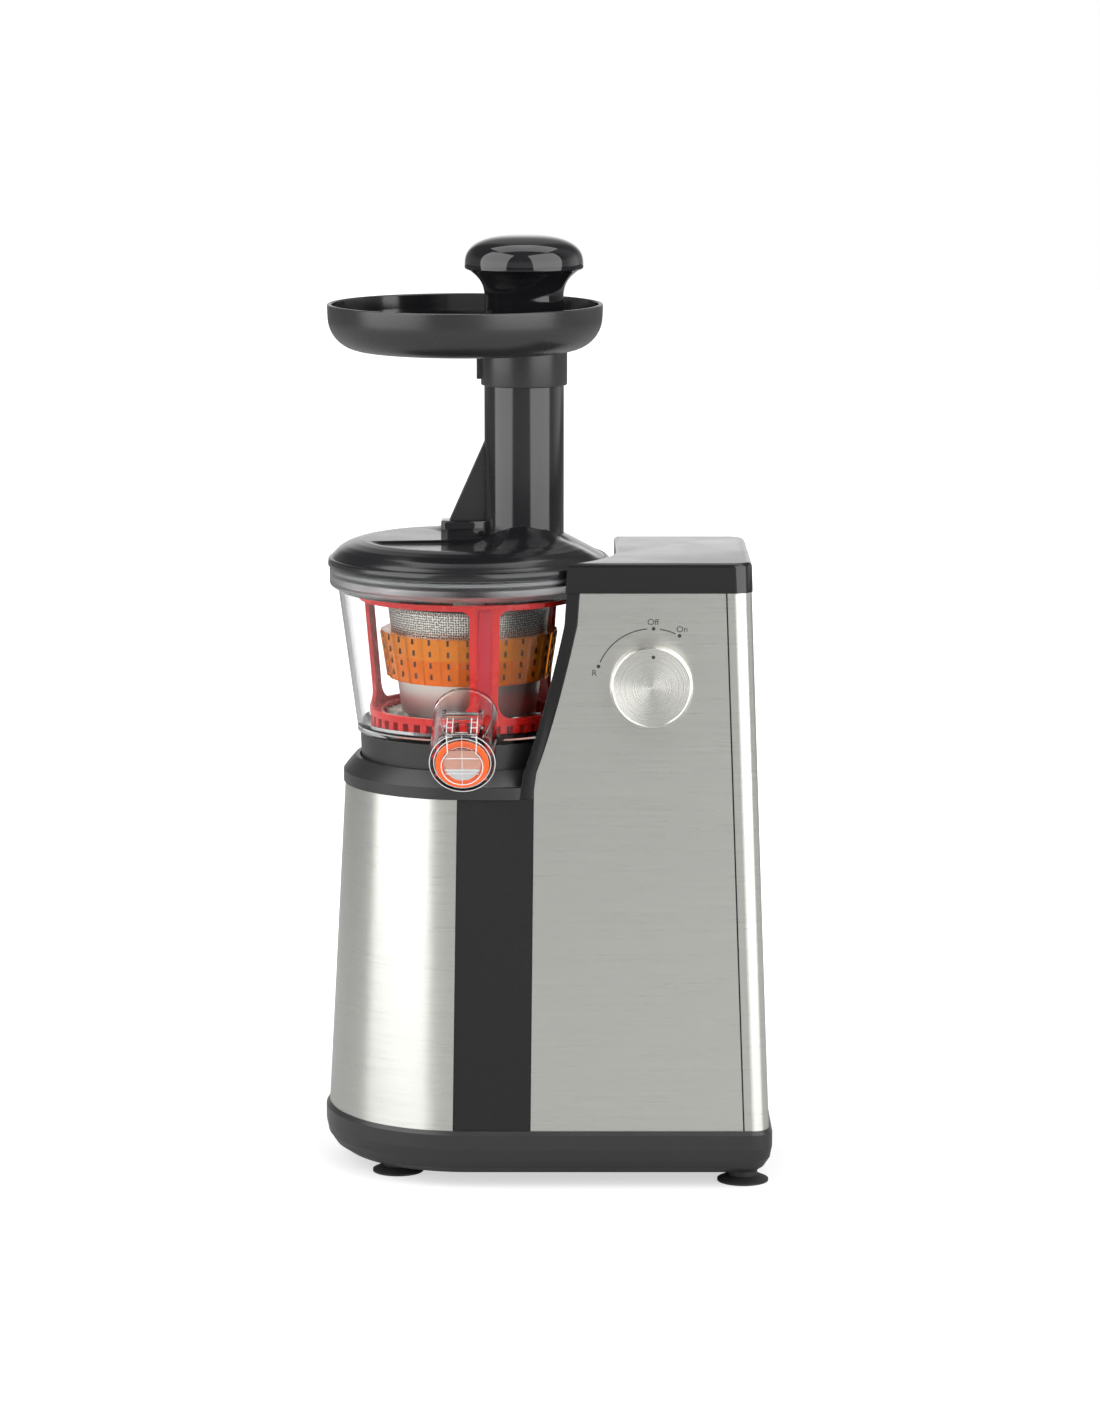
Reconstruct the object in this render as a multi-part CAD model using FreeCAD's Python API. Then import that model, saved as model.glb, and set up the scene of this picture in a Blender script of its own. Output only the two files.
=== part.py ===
"""Upright slow juicer: a base with a motor tower, a clear bowl with strainer, screw and brush cage,
a lid with a feed tube, a loading tray and a pusher. Millimetres, +Z up, -Y is the knob and juice side.
The origin is at the middle of the box on the surface that the feet stand on."""
import FreeCAD
import Part
import math
import os

V = FreeCAD.Vector
UP = V(0, 0, 1)

# Places in plan
bowl_x = -40.0             # bowl axis
feed_offset = 28.5         # feed tube axis, from the bowl axis towards the tower
tray_offset = -1.5         # loading tray centre, from the bowl axis
rear_x = 113.1             # rear of the steel body at its foot

# Heights, each above the piece below
foot_height = 6.5
base_height = 24.5         # black base
column_height = 169.0      # steel column, base to shoulder
shoulder_rise = 13.5       # shoulder, from the steel's top edge to the bowl's seat
ring_height = 13.2         # black foot ring of the bowl
wall_height = 75.0         # clear wall, foot ring to rim band
band_height = 9.8          # rim band of the bowl
lid_height = 13.5
tube_height = 93.0         # feed tube above the lid's deck, up to the tray
tray_height = 25.5
tower_height = 273.0       # steel of the tower, above the base
cap_height = 15.0

# Steel body
body_out = 15.7            # foot of the steel, out past the bowl's foot on the front and the sides
side_draft = 0.0619        # how far the sides lean in, per millimetre of height
front_draft = 0.0545
rear_draft = 0.0359
rear_corner = 9.0
sheet = 1.2                # thickness of the steel sheets
shell = 2.6                # moulded wall of the housing
panel_gap = 0.25           # joint between neighbouring panels
corner_gap = 0.8           # wider joint in front of the rear corner strips
sheet_gap = 0.02           # between the sheets and the housing
base_lip = 1.8             # how far the black base stands out past the steel
base_round = 15.0
base_wall = 2.6
base_edge = 1.2            # chamfer round the top of the base
base_edge_height = 2.0
base_steps = 4             # lofts that make up the round of the base
rear_strip = 13.4          # width of the steel corner strips at the rear

# Black strip beside the column, and the trim in front of the tower
strip_front = -47.5
strip_front_shift = 2.5    # how far the strip's front edge moves back by the steel's top
strip_rear = -8.4
strip_rear_shift = 1.75
trim_width = 6.5
niche_low_gap = 10.5       # niche in the tower, out past the bowl's foot
niche_high_gap = 3.2       # niche, out past the lid's rim
niche_high_drop = 16.0     # depth below the cap where the niche stops widening

# Knob
knob_x = 52.6
knob_drop = 46.3           # knob centre, below the top of the steel
knob_radius = 20.9
knob_length = 12.0
knob_gap = 0.6
knob_round = 1.2
spindle_radius = 3.0
spindle_clearance = 0.06
knob_face = 3.0            # metal left at the knob's face, over the spindle
spindle_room = 1.0         # hole in the panel, round the spindle
switch_gap = 0.2
switch_size = 30.0
switch_depth = 16.0

# Rear cover and cord gland
vent_rows = 9
vent_start = 60.0
vent_pitch = 8.0
vent_height = 3.0
vent_length = 26.0
vent_middle = 18.0
gland_radius = 6.0
gland_bore = 3.6
gland_rise = 16.0
gland_out = 1.5            # gland, out past the steel
gland_flange = 2.0
gland_flange_width = 1.5
gland_gap = 0.2
cover_margin = 1.0         # cover, in from the round rear corners
cover_depth = 20.0
cover_seat = 4.0           # housing left above and below its rear opening

# Cap, shoulder and feet
cap_lip = 0.5
cap_round = 2.4
deck_wall = 3.0
shoulder_rim = 6.0
shoulder_round = (3.0, 3.6)  # middle of the shoulder's round: in from its edge, and down from its top
shoulder_gap = 0.3         # between the shoulder and the tower's front
deck_inset = 8.0
well_depth = 4.0
foot_places = ((-76.7, 32.3), (100.5, 51.5))
foot_radius = 13.1
foot_disc = 2.4
foot_edge = 1.0
foot_slope = 3.0
foot_hub = 7.5
foot_hub_rise = 0.8
screw_radius = 1.6
screw_head = 3.2
screw_head_height = 0.6
screw_places = ((-60.0, 50.0), (30.0, 55.0), (88.0, 30.0))
floor_vents = 6            # slots in the base, under the motor
floor_vent_width = 5.0
floor_vent_pitch = 9.0
floor_vent_length = 40.0
board_x = 45.0
board_length = 46.0
board_height = 60.0
board_rise = 120.0
board_off = 6.0
board_sheet = 1.6
board_margin = 6.0
boss_radius = 2.5
chips = 3
chip_width = 10.0
chip_pitch = 14.0
chip_depth = 7.4
chip_height = 18.0
chip_rise = 12.0
switch_spindle = 10.0

# Bowl
wall = 2.4
bowl_foot_radius = 57.4
bowl_top_radius = 66.8
ring_inset = 1.4           # foot ring, in from the bowl's foot
ring_wall = 3.0
ring_foot_inset = 0.6
band_out = 4.5             # rim band, out past the top of the wall
band_wall = 2.6
bowl_floor = 2.6
bowl_gap = 0.4             # clearance round and under the bowl
shoulder_lip = 0.9
foot_land = 2.0            # upright edge at the bowl's foot
rim_flare = 2.5            # height of the step out to the rim band
band_edge = 0.6            # chamfer under the rim band
band_edge_height = 1.2
band_seat = 1.8
floor_round = 3.0          # slope between floor and wall, inside
floor_round_in = 1.5
wall_root = 0.5
post_root = 0.5

# Gears under the strainer
gear_ring_inset = 5.0      # pitch circle of the cage's teeth, in from the cage
screw_teeth = 14
cage_teeth = 46
gear_width = 5.0
gear_floor_gap = 0.5
cage_gear_gap = 0.5
idler_angle = 150.0
post_radius = 4.0
seal_wall = 3.0
seal_gap = 0.3
idler_pin_radius = 3.0
running = 0.06             # radial running clearance
addendum = 0.8             # in modules
dedendum = 1.0
pressure_angle = 25.0
backlash = 0.22

# Brush cage
cage_foot_inset = 4.0      # cage, in from the bowl's inner wall at the foot
cage_top_inset = 9.8       # the same at the top
cage_height = 57.0
cage_wall = 2.2
cage_foot_band = 4.4
cage_top_band = 8.0
cage_shelf = 2.0
cage_bars = 3
cage_bar_width = 15.5
cage_bar_angle = -78.0
window_corner = 4.0
blade_width = 6.5
blade_clear = 1.2          # wiper blades, in from the bowl's wall
blade_rise = 2.0           # blades, above the foot band
blade_lap = 4.0            # blades, up over the top band
shelf_overlap = 0.2

# Strainer
strainer_gap = 0.6         # above the gears
strainer_foot_inset = 11.6 # strainer, in from the cage's inner wall at the foot
strainer_top_inset = 10.4
strainer_height = 52.0
strainer_wall = 1.2
frame_low = 15.0           # amber frame, from the strainer's foot
frame_height = 23.0
frame_foot_out = 4.0       # amber frame, out past the strainer
frame_top_out = 3.3
frame_ribs = 26
rib_width = 2.0
rib_height = 0.9
rib_root = 1.0             # part of a rib that is sunk in the frame
frame_gap = 0.05
neck_room = 0.6            # strainer, round the screw's neck

# Screw (auger)
screw_gap = 1.4
screw_neck = 13.0
screw_foot_gap = 1.0
screw_above = 10.0         # screw, above the strainer's rim
screw_round = 3.0
neck_gap = 0.4             # clearance of the neck under and over the gears
screw_core_foot = 19.0
screw_core_top = 12.0
flight_pitch = 30.0
flight_turns = 1.75
flight_width = 4.6
flight_start = 4.0
flight_taper = 0.6         # width at the flight's edge, as a share of its root
flight_root = 3.0
screw_pin_radius = 5.0
screw_pin_length = 13.0
socket_depth = 17.0

# Drive
hex_across = 12.0
hex_clearance = 0.25
output_radius = 8.0
motor_radius = 41.0
motor_height = 46.0
rotor_radius = 24.0
air_gap = 0.6
motor_shaft_radius = 4.0
bearing_radius = 11.0
bearing_width = 7.0
planet_module = 1.5
sun_teeth = 12
planet_teeth = 12
ring_teeth = 36
planet_width = 11.0
planet_pin_radius = 2.5
carrier_plate = 4.0
stage_gap = 0.5
gearbox_wall = 4.0
planets = 3
fan_room = 22.0
coil_room = 10.0
fan_radius = 36.0
fan_hub = 11.0
fan_blades = 9
fan_blade = 1.6
fan_low_gap = 1.0
fan_high_gap = 8.0
stator_slots = 12
slot_gap = 5.0             # width of the stator's slots
yoke = 6.0
coil_width = 9.0
coil_height = 6.8
coil_gap = 0.2
bearing_sink = 1.0
can_floor = 1.0
carrier_rim = 1.6
output_room = 1.0
hex_end = 1.0

# Spouts
spout_tilt = 20.0
spout_radius = 16.5
spout_wall = 2.6
spout_turn = -91.0
spout_reach = 42.6         # mouth centre, out past the bowl's foot radius
spout_drop = 1.3           # mouth centre, below the foot of the clear wall
spout_root = 8.0           # how far spout and bore are taken back into the bowl
flap_wall = 1.8
flap_radius = 10.0
flap_width = 15.5
plug_depth = 5.0
plug_gap = 0.1
flap_gap = 0.4
flap_seal = 1.4
seal_inset = 0.5
flap_length = 17.0
hinge_back = 13.0
ear_height = 9.5
hinge_radius = 2.4
hinge_pin_radius = 1.0
ear_width = 2.0
chute_width = 26.0
chute_height = 20.0
chute_wall = 2.4
chute_tilt = 18.0

# Lid, feed tube, tray and pusher
lid_overhang = 0.7         # lid, out past the bowl's rim band
lid_rim_height = 3.6
lid_edge = 0.4             # taper of the rim's upright edge
lid_edge_height = 2.8
lid_shoulder = ((2.5, 6.5), (9.0, 2.3), (13.5, 0.6))  # points of its round: in from the rim and down
lid_hollow = (11.5, 5.0)   # corner of the hollow under the round, in and down in the same way
lid_rim_wall = 3.2
lid_wall = 2.6
tube_radius = 20.3
tube_wall = 2.0
collar_radius = 22.0
collar_height = 14.5
tray_radius = 70.2
tray_round = 17.0
tray_flat = 20.0           # flat floor, in from the tray's edge
tray_flare = 1.0           # how far the wall leans out above its round
tray_wall = 2.2
pusher_gap = 0.5
pusher_depth = 62.0        # shaft inside the tube
pusher_shaft_wall = 2.4
pusher_floor = 4.0         # closed end of the hollow shaft
neck_radius = 19.5
neck_height = 41.7         # from the tray floor to the cap of the pusher
neck_flare_height = 16.0
neck_flare = ((21.5, 8.8), (28.0, 0.0))  # middle and end of the flare: radius, and down from the cap
knob_cap_radius = 30.4
knob_cap_height = 17.4
cap_side = (0.9, 8.0)      # middle of the cap's side: in from its edge, and up from its foot
cap_foot = (0.8, 0.6)
crown_rim = 22.0
crown_drop = 3.3
tray_lift = 0.3            # gap between loose pieces that rest on each other
lid_skirt = 5.0
lid_skirt_wall = 1.8
spigot_gap = 0.4
groove_depth = 1.0
groove_rise = 2.0
seal_squeeze = 0.25        # seal, out past the spigot
seal_height = 1.8
bush_radius = 8.0
bush_wall = 2.0
bush_drop = 6.6            # bush, below the top of the bowl
deck_edge = 18.0           # flat deck, in from the lid's rim
skirt_foot = 21.4          # cone that rises to the feed tube, in from the lid's rim
skirt_slope = 0.54
skirt_height = 9.0
skirt_reach = 17.0
scoop_depth = 3.0          # scoop in front of the deck, at the deck's front edge
scoop_tilt = 4.0
scoop_turn = 8.0           # how far the deck's front edge turns towards the front
scoop_edge = -7.5
boss_length = 22.2
boss_width = 13.0
boss_height = 9.5
boss_round = 3.0
gusset_width = 4.0
gusset_foot = 18.8
gusset_height = 51.2
rib_out = 1.4
rib_half = 3.0             # half width of the rib that the tray's collar slots over
rib_gap = 0.4
rib_drop = 2.0             # rib, below the collar

os.makedirs("parts", exist_ok=True)

# Radii worked out from the driving values
base_half_width = bowl_foot_radius + body_out
band_radius = bowl_top_radius + band_out
lid_rim_radius = band_radius + lid_overhang
ring_radius = bowl_foot_radius - ring_inset
niche_low_radius = bowl_foot_radius + niche_low_gap
niche_high_radius = lid_rim_radius + niche_high_gap
cage_foot_radius = bowl_foot_radius - wall - cage_foot_inset
cage_top_radius = bowl_top_radius - wall - cage_top_inset
strainer_foot_radius = cage_foot_radius - cage_wall - strainer_foot_inset
strainer_top_radius = cage_top_radius - cage_wall - strainer_top_inset
frame_foot_radius = strainer_foot_radius + frame_foot_out
frame_top_radius = strainer_top_radius + frame_top_out
gear_module = 2.0 * (cage_foot_radius - gear_ring_inset) / cage_teeth

# Heights worked out from the driving values
base_z = foot_height
steel_z = base_z + base_height
steel_top = steel_z + column_height
seat_z = steel_top + shoulder_rise
bowl_z = seat_z + ring_height
band_z = bowl_z + wall_height
lid_z = band_z + band_height
lid_top = lid_z + lid_height
tube_top = lid_top + tube_height
tray_z = tube_top + tray_lift
floor_z = bowl_z + bowl_floor
gear_z = floor_z + gear_floor_gap
gear_top = gear_z + gear_width
strainer_z = gear_top + strainer_gap
strainer_top = strainer_z + strainer_height
cage_z = gear_top + cage_gear_gap
tower_top = steel_z + tower_height
cap_top = tower_top + cap_height
feed_x = bowl_x + feed_offset
tray_x = bowl_x + tray_offset
BIG = 600.0                # reach of cutting blocks, past any piece

# Heights of the drive
motor_floor = base_z + base_wall
motor_plate = motor_floor + carrier_plate
bearing_z = motor_floor + bearing_sink
stator_z = motor_plate + bearing_width + fan_room
stator_top = stator_z + motor_height
box_z = stator_top + coil_room
stage_pitch = planet_width + carrier_plate + 2 * stage_gap
stage_z = [box_z + carrier_plate + stage_gap + k * stage_pitch for k in range(2)]
carrier_tops = [z + planet_width + stage_gap + carrier_plate for z in stage_z]
box_top = carrier_tops[1] + stage_gap + carrier_plate
can_radius = motor_radius + running
planet_orbit = planet_module * (sun_teeth + planet_teeth) / 2.0


def half_width(z):
    return base_half_width - side_draft * (z - steel_z)


def front_x(z):
    return bowl_x - base_half_width + front_draft * (z - steel_z)


def rear_end(z):
    return rear_x - rear_draft * (z - steel_z)


def planform(z, inset=0.0):
    """Closed outline of the body at height z: a round front, straight sides and rounded rear corners."""
    w = half_width(z) - inset
    cx = front_x(z) + half_width(z)
    end = rear_end(z) - inset
    r = max(rear_corner - inset, 0.8)
    q = r * (1 - math.sqrt(0.5))
    points = [V(cx, w, z), V(cx - w, 0, z), V(cx, -w, z), V(end - r, -w, z), V(end - q, -w + q, z),
              V(end, -w + r, z), V(end, w - r, z), V(end - q, w - q, z), V(end - r, w, z)]
    edges = [Part.Arc(points[0], points[1], points[2]).toShape(),
             Part.makeLine(points[2], points[3]),
             Part.Arc(points[3], points[4], points[5]).toShape(),
             Part.makeLine(points[5], points[6]),
             Part.Arc(points[6], points[7], points[8]).toShape(),
             Part.makeLine(points[8], points[0])]
    return Part.Wire(edges)


def body(z0, z1, inset=0.0):
    return Part.makeLoft([planform(z0, inset), planform(z1, inset)], True, True)


def block(x0, x1, y0, y1, z0, z1):
    return Part.makeBox(x1 - x0, y1 - y0, z1 - z0, V(x0, y0, z0))


def rod(radius, z0, z1, x=bowl_x, y=0.0):
    return Part.makeCylinder(radius, z1 - z0, V(x, y, z0))


def tube(outer, inner, z0, z1, x=bowl_x, y=0.0):
    return rod(outer, z0, z1, x, y).cut(rod(inner, z0 - 1, z1 + 1, x, y))


def turned(outline, x=bowl_x, y=0.0):
    """Solid of revolution about a vertical axis. A plain (r, z) pair ends a straight line and a
    pair of pairs ((r, z), (r, z)) is an arc through the first to the second."""
    edges = []
    here = outline[0]
    for step in outline[1:]:
        if isinstance(step[0], tuple):
            mid, end = step
            edges.append(Part.Arc(V(x + here[0], y, here[1]), V(x + mid[0], y, mid[1]),
                                  V(x + end[0], y, end[1])).toShape())
        else:
            end = step
            edges.append(Part.makeLine(V(x + here[0], y, here[1]), V(x + end[0], y, end[1])))
        here = end
    edges.append(Part.makeLine(V(x + here[0], y, here[1]), V(x + outline[0][0], y, outline[0][1])))
    face = Part.Face(Part.Wire(edges))
    return face.revolve(V(x, y, 0), UP, 360)


def corner(centre_r, centre_z, radius, start, end):
    """Arc of a turned outline, from angle start to end in degrees: the middle and the last point."""
    middle = math.radians((start + end) / 2.0)
    last = math.radians(end)
    return ((centre_r + radius * math.cos(middle), centre_z + radius * math.sin(middle)),
            (centre_r + radius * math.cos(last), centre_z + radius * math.sin(last)))


def about_bowl(shape, angle):
    turned_copy = shape.copy()
    turned_copy.rotate(V(bowl_x, 0, 0), UP, angle)
    return turned_copy


def polar(radius, angle, z=0.0, x=bowl_x):
    return V(x + radius * math.cos(math.radians(angle)), radius * math.sin(math.radians(angle)), z)


def fuse(shapes):
    first = shapes[0]
    return first.fuse(shapes[1:]).removeSplitter() if len(shapes) > 1 else first


def save(name, shape):
    shape.exportStep("parts/" + name + ".step")


def involute_angle(radius, base):
    ratio = min(base / radius, 1.0)
    pressure = math.acos(ratio)
    return math.tan(pressure) - pressure


def gear_outline(teeth, module, turn, inner=False):
    """Corners of a gear with involute flanks of three points a side. An inner gear's teeth point in."""
    pitch_r = module * teeth / 2.0
    base = pitch_r * math.cos(math.radians(pressure_angle))
    sign = -1.0 if inner else 1.0
    tip = pitch_r + sign * addendum * module
    root = pitch_r - sign * dedendum * module
    half_pitch = math.pi / (2.0 * teeth) - backlash / (2.0 * pitch_r)
    at_pitch = involute_angle(pitch_r, base)
    points = []
    for k in range(teeth):
        middle = math.radians(turn) + 2.0 * math.pi * k / teeth
        flank = []
        for r in (root, pitch_r, tip):
            half = half_pitch + sign * (at_pitch - involute_angle(max(r, base), base))
            flank.append((r, half))
        for r, half in flank:
            points.append((r, middle - half))
        for r, half in reversed(flank):
            points.append((r, middle + half))
    return points


def gear(teeth, module, turn, z0, z1, x, y, inner=False):
    corners = [V(x + r * math.cos(a), y + r * math.sin(a), z0)
               for r, a in gear_outline(teeth, module, turn, inner)]
    outline = Part.makePolygon(corners + [corners[0]])
    return Part.Face(outline).extrude(V(0, 0, z1 - z0))


# The niche for the bowl: round about the bowl axis, and straight on towards the far side
def niche(shift=0.0):
    high = tower_top - niche_high_drop
    top = cap_top + 5.0
    floor = steel_top
    outline = [(0, floor), (niche_low_radius, floor), (niche_low_radius, seat_z),
               (niche_high_radius, high), (niche_high_radius, top), (0, top)]
    round_part = turned(outline)
    section = Part.makePolygon([V(bowl_x + r, 0, z) for r, z in outline + [outline[0]]])
    straight = Part.Face(section).extrude(V(0, BIG / 2, 0))
    front = block(-BIG, bowl_x, -BIG / 2, BIG / 2, floor, top)
    whole = round_part.fuse([straight, front])
    whole.translate(V(shift, 0, 0))
    return whole


def wedge_prism(x_low, x_high, z0, z1):
    """Slab across the body between two front-to-rear positions that may lean with height."""
    pts = [V(x_low[0], -BIG / 2, z0), V(x_high[0], -BIG / 2, z0), V(x_high[1], -BIG / 2, z1),
           V(x_low[1], -BIG / 2, z1)]
    return Part.Face(Part.makePolygon(pts + [pts[0]])).extrude(V(0, BIG, 0))


def steel_skin():
    """All the steel as one sheet, from the base to the top of the tower."""
    return body(steel_z, tower_top).cut(body(steel_z - 1, tower_top + 1, sheet))


def half_space(side):
    """Everything on the near side of the middle, which is -Y, or on the far side."""
    if side == "near":
        return block(-BIG, BIG, -BIG, 0, -BIG, BIG)
    return block(-BIG, BIG, 0, BIG, -BIG, BIG)


def make_column():
    """Steel wrap round the front of the column, and the black strip behind it on each side."""
    lower_skin = steel_skin().common(block(-BIG, BIG, -BIG, BIG, steel_z, steel_top))
    front_top = strip_front + strip_front_shift
    wrap_zone = wedge_prism((-BIG, -BIG), (strip_front - panel_gap, front_top - panel_gap),
                            steel_z, steel_top)
    save("front_wrap", lower_skin.common(wrap_zone))
    strip_zone = wedge_prism((strip_front, front_top), (strip_rear, strip_rear + strip_rear_shift),
                             steel_z, steel_top)
    for side in ("near", "far"):
        save(side + "_strip", lower_skin.common(strip_zone).common(half_space(side)))


def make_panels():
    """Side panels of the tower, cut back round the niche's trim, and the strips at its rear corners."""
    skin = steel_skin()
    front = strip_rear + panel_gap
    front_top = front + strip_rear_shift * tower_height / column_height
    edge = rear_end(steel_z) - rear_strip
    edge_top = rear_end(tower_top) - rear_strip
    panel_zone = wedge_prism((front, front_top), (edge, edge_top), steel_z, tower_top)
    corner_zone = wedge_prism((edge + corner_gap, edge_top + corner_gap), (BIG, BIG), steel_z, tower_top)
    trim = niche(trim_width + panel_gap)
    for side in ("near", "far"):
        panel = skin.common(panel_zone).common(half_space(side)).cut(trim)
        if side == "near":
            panel = panel.cut(spindle_hole(spindle_radius + spindle_room))
        save(side + "_panel", panel)
        save(side + "_corner_strip", skin.common(corner_zone).common(half_space(side)).cut(cover_zone()))


def cover_zone(gap=0.0):
    """Space of the rear cover, between the corner strips. A gap makes it narrower on both sides."""
    half = half_width(tower_top) - rear_corner - cover_margin - gap
    return block(rear_end(tower_top) - cover_depth, BIG, -half, half, 0, BIG)


def make_cover():
    """Rear cover with two columns of vent slots, and the gland under them."""
    slots = []
    for row in range(vent_rows):
        z = steel_z + vent_start + row * vent_pitch
        for side in (-1, 1):
            slots.append(block(rear_x - cover_depth, BIG, side * vent_middle - vent_length / 2,
                               side * vent_middle + vent_length / 2, z, z + vent_height))
    z = steel_z + gland_rise
    start = rear_end(z) - sheet - shell - gland_out
    hole = level_rod(gland_radius + gland_gap, start, BIG, z)
    save("back_cover", steel_skin().common(cover_zone(panel_gap)).cut(slots + [hole]))
    barrel = level_rod(gland_radius, start, rear_end(z) + gland_out, z)
    seat = start - gland_gap
    flange = level_rod(gland_radius + gland_flange, seat, seat + gland_flange_width, z)
    save("cord_gland", barrel.fuse(flange).cut(level_rod(gland_bore, 0, BIG, z)))


def level_rod(radius, x0, x1, z):
    """Rod along X, in the middle of the body."""
    return Part.makeCylinder(radius, x1 - x0, V(x0, 0, z), V(1, 0, 0))


def make_housing():
    """Moulded housing under the sheets, open at the rear behind the cover."""
    outer = body(steel_z, tower_top, sheet + sheet_gap)
    hollow = body(steel_z - 1, tower_top + 1, sheet + shell)
    opening = cover_zone().common(block(0, BIG, -BIG, BIG, steel_z + cover_seat, tower_top - cover_seat))
    housing = outer.cut(hollow).cut(niche(trim_width))
    save("housing", housing.cut([opening, spindle_hole(spindle_radius + spindle_room)]))


def make_tower():
    """Black front of the tower, whose edges show as the trim beside the panels, and the tower's cap."""
    save("tower_front", body(steel_top, tower_top).common(niche(trim_width)).cut(niche()))
    cap = Part.makeLoft([planform(tower_top, -cap_lip), planform(cap_top, -cap_lip)], True, True)
    cap = cap.cut(niche())
    edges = [e for e in cap.Edges if abs(e.BoundBox.ZMin - cap_top) < 0.01
             and abs(e.BoundBox.ZMax - cap_top) < 0.01]
    cap = cap.makeFillet(cap_round, edges)
    inside = Part.makeLoft([planform(tower_top - 1, shell), planform(cap_top - shell, shell)], True, True)
    save("tower_cap", cap.cut(inside.cut(niche(shell))))


def knob_frame():
    """Centre of the knob on the near panel and the outward direction of the panel there."""
    z = tower_top - knob_drop
    lean = math.atan(side_draft)
    out = V(0, -math.cos(lean), math.sin(lean))
    return V(knob_x, -half_width(z), z), out


def spindle_hole(radius):
    centre, out = knob_frame()
    return Part.makeCylinder(radius, 20, centre - out * 10, out)


def make_knob():
    centre, out = knob_frame()
    face = centre + out * knob_gap
    disc = Part.makeCylinder(knob_radius, knob_length, face, out)
    rim = [e for e in disc.Edges if e.Curve.TypeId == "Part::GeomCircle"
           and (e.Curve.Center - face).Length > knob_length / 2]
    disc = disc.makeFillet(knob_round, rim)
    save("knob", disc.cut(Part.makeCylinder(spindle_radius, knob_length - knob_face, face, out)))
    depth = sheet + shell + switch_spindle
    spindle = Part.makeCylinder(spindle_radius, depth + knob_gap + knob_length - knob_face,
                                centre - out * depth, out)
    save("knob_spindle", spindle)
    start = centre - out * (sheet + shell + switch_gap + switch_depth)
    switch = Part.makeBox(switch_size, switch_size, switch_depth)
    switch.translate(V(-switch_size / 2, -switch_size / 2, 0))
    place = FreeCAD.Placement(start, FreeCAD.Rotation(UP, out))
    switch.Placement = place.multiply(switch.Placement)
    hole = Part.makeCylinder(spindle_radius + spindle_clearance, 40, start - out, out)
    save("rotary_switch", switch.cut(hole))


def ring_at(z, inset):
    """The body's outline at the foot of the steel, set in and moved to height z."""
    ring = planform(steel_z, inset)
    ring.translate(V(0, 0, z - steel_z))
    return ring


def make_base():
    """Black base: a round foot made of a few lofts, an upright side with a chamfered edge, and a hollow."""
    rings = []
    for k in range(base_steps + 1):
        a = math.pi / 2 * k / base_steps
        rings.append(ring_at(base_z + base_round * (1 - math.cos(a)),
                             base_round * (1 - math.sin(a)) - base_lip))
    rings.append(ring_at(steel_z - base_edge_height, -base_lip))
    rings.append(ring_at(steel_z, base_edge - base_lip))
    whole = fuse([Part.makeLoft([rings[k], rings[k + 1]], True, True) for k in range(len(rings) - 1)])
    hollow = Part.makeLoft([ring_at(base_z + base_wall, base_round), ring_at(base_z + base_round, base_wall),
                            ring_at(steel_z + 1.0, base_wall)], True, True)
    half = floor_vent_length / 2
    lefts = [bowl_x + (k - floor_vents / 2) * floor_vent_pitch for k in range(floor_vents)]
    vents = [block(x, x + floor_vent_width, -half, half, 0, motor_floor + 1.0) for x in lefts]
    holes = [rod(screw_radius, 0, steel_z, x, y) for x, y in screw_spots()]
    save("base_tray", whole.cut([hollow] + vents + holes))


def make_feet():
    """Four round rubber feet: a disc with a sloping top, on a hub."""
    outline = [(0, 0), (foot_radius, 0), (foot_radius, foot_edge), (foot_radius - foot_slope, foot_disc),
               (foot_hub, foot_disc + foot_hub_rise), (foot_hub, foot_height), (0, foot_height)]
    feet = [turned(outline, x, side * y) for x, y in foot_places for side in (-1, 1)]
    save("feet", Part.makeCompound(feet))


def make_shoulder():
    """Shoulder round the column's top, with the well that the bowl's ring stands in and a bearing seat."""
    low = planform(steel_top, -shoulder_lip)
    rim = low.copy()
    rim.translate(V(0, 0, shoulder_rim))
    flange = Part.makeLoft([low, rim], True, True)
    edge = half_width(steel_top) + shoulder_lip
    side_in, top_down = shoulder_round
    dome = turned([(0, steel_top + shoulder_rim), (edge, steel_top + shoulder_rim),
                   ((edge - side_in, seat_z - top_down), (bowl_foot_radius, seat_z)), (0, seat_z)],
                  front_x(steel_top) + half_width(steel_top))
    deck = flange.fuse(dome).cut(niche_outside())
    well_z = seat_z - well_depth
    well = rod(ring_radius + bowl_gap, well_z, seat_z + 1)
    under = rod(bowl_foot_radius - deck_inset, steel_top - 1, well_z - deck_wall)
    deck = deck.cut([well, rod(bearing_radius, 0, BIG), under])
    seat = tube(bearing_radius + deck_wall, bearing_radius, well_z - deck_wall - bearing_width, well_z)
    save("shoulder_deck", deck.fuse(seat))


def niche_outside():
    """Everything behind the niche, which the shoulder stops short of."""
    return block(-BIG, BIG, -BIG, BIG, 0, BIG).cut(niche(-shoulder_gap))


def hexagon(across, z0, z1, x=bowl_x):
    r = across / math.sqrt(3.0)
    corners = [V(x + r * math.cos(math.pi * k / 3), r * math.sin(math.pi * k / 3), z0) for k in range(7)]
    return Part.Face(Part.makePolygon(corners)).extrude(V(0, 0, z1 - z0))


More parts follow.
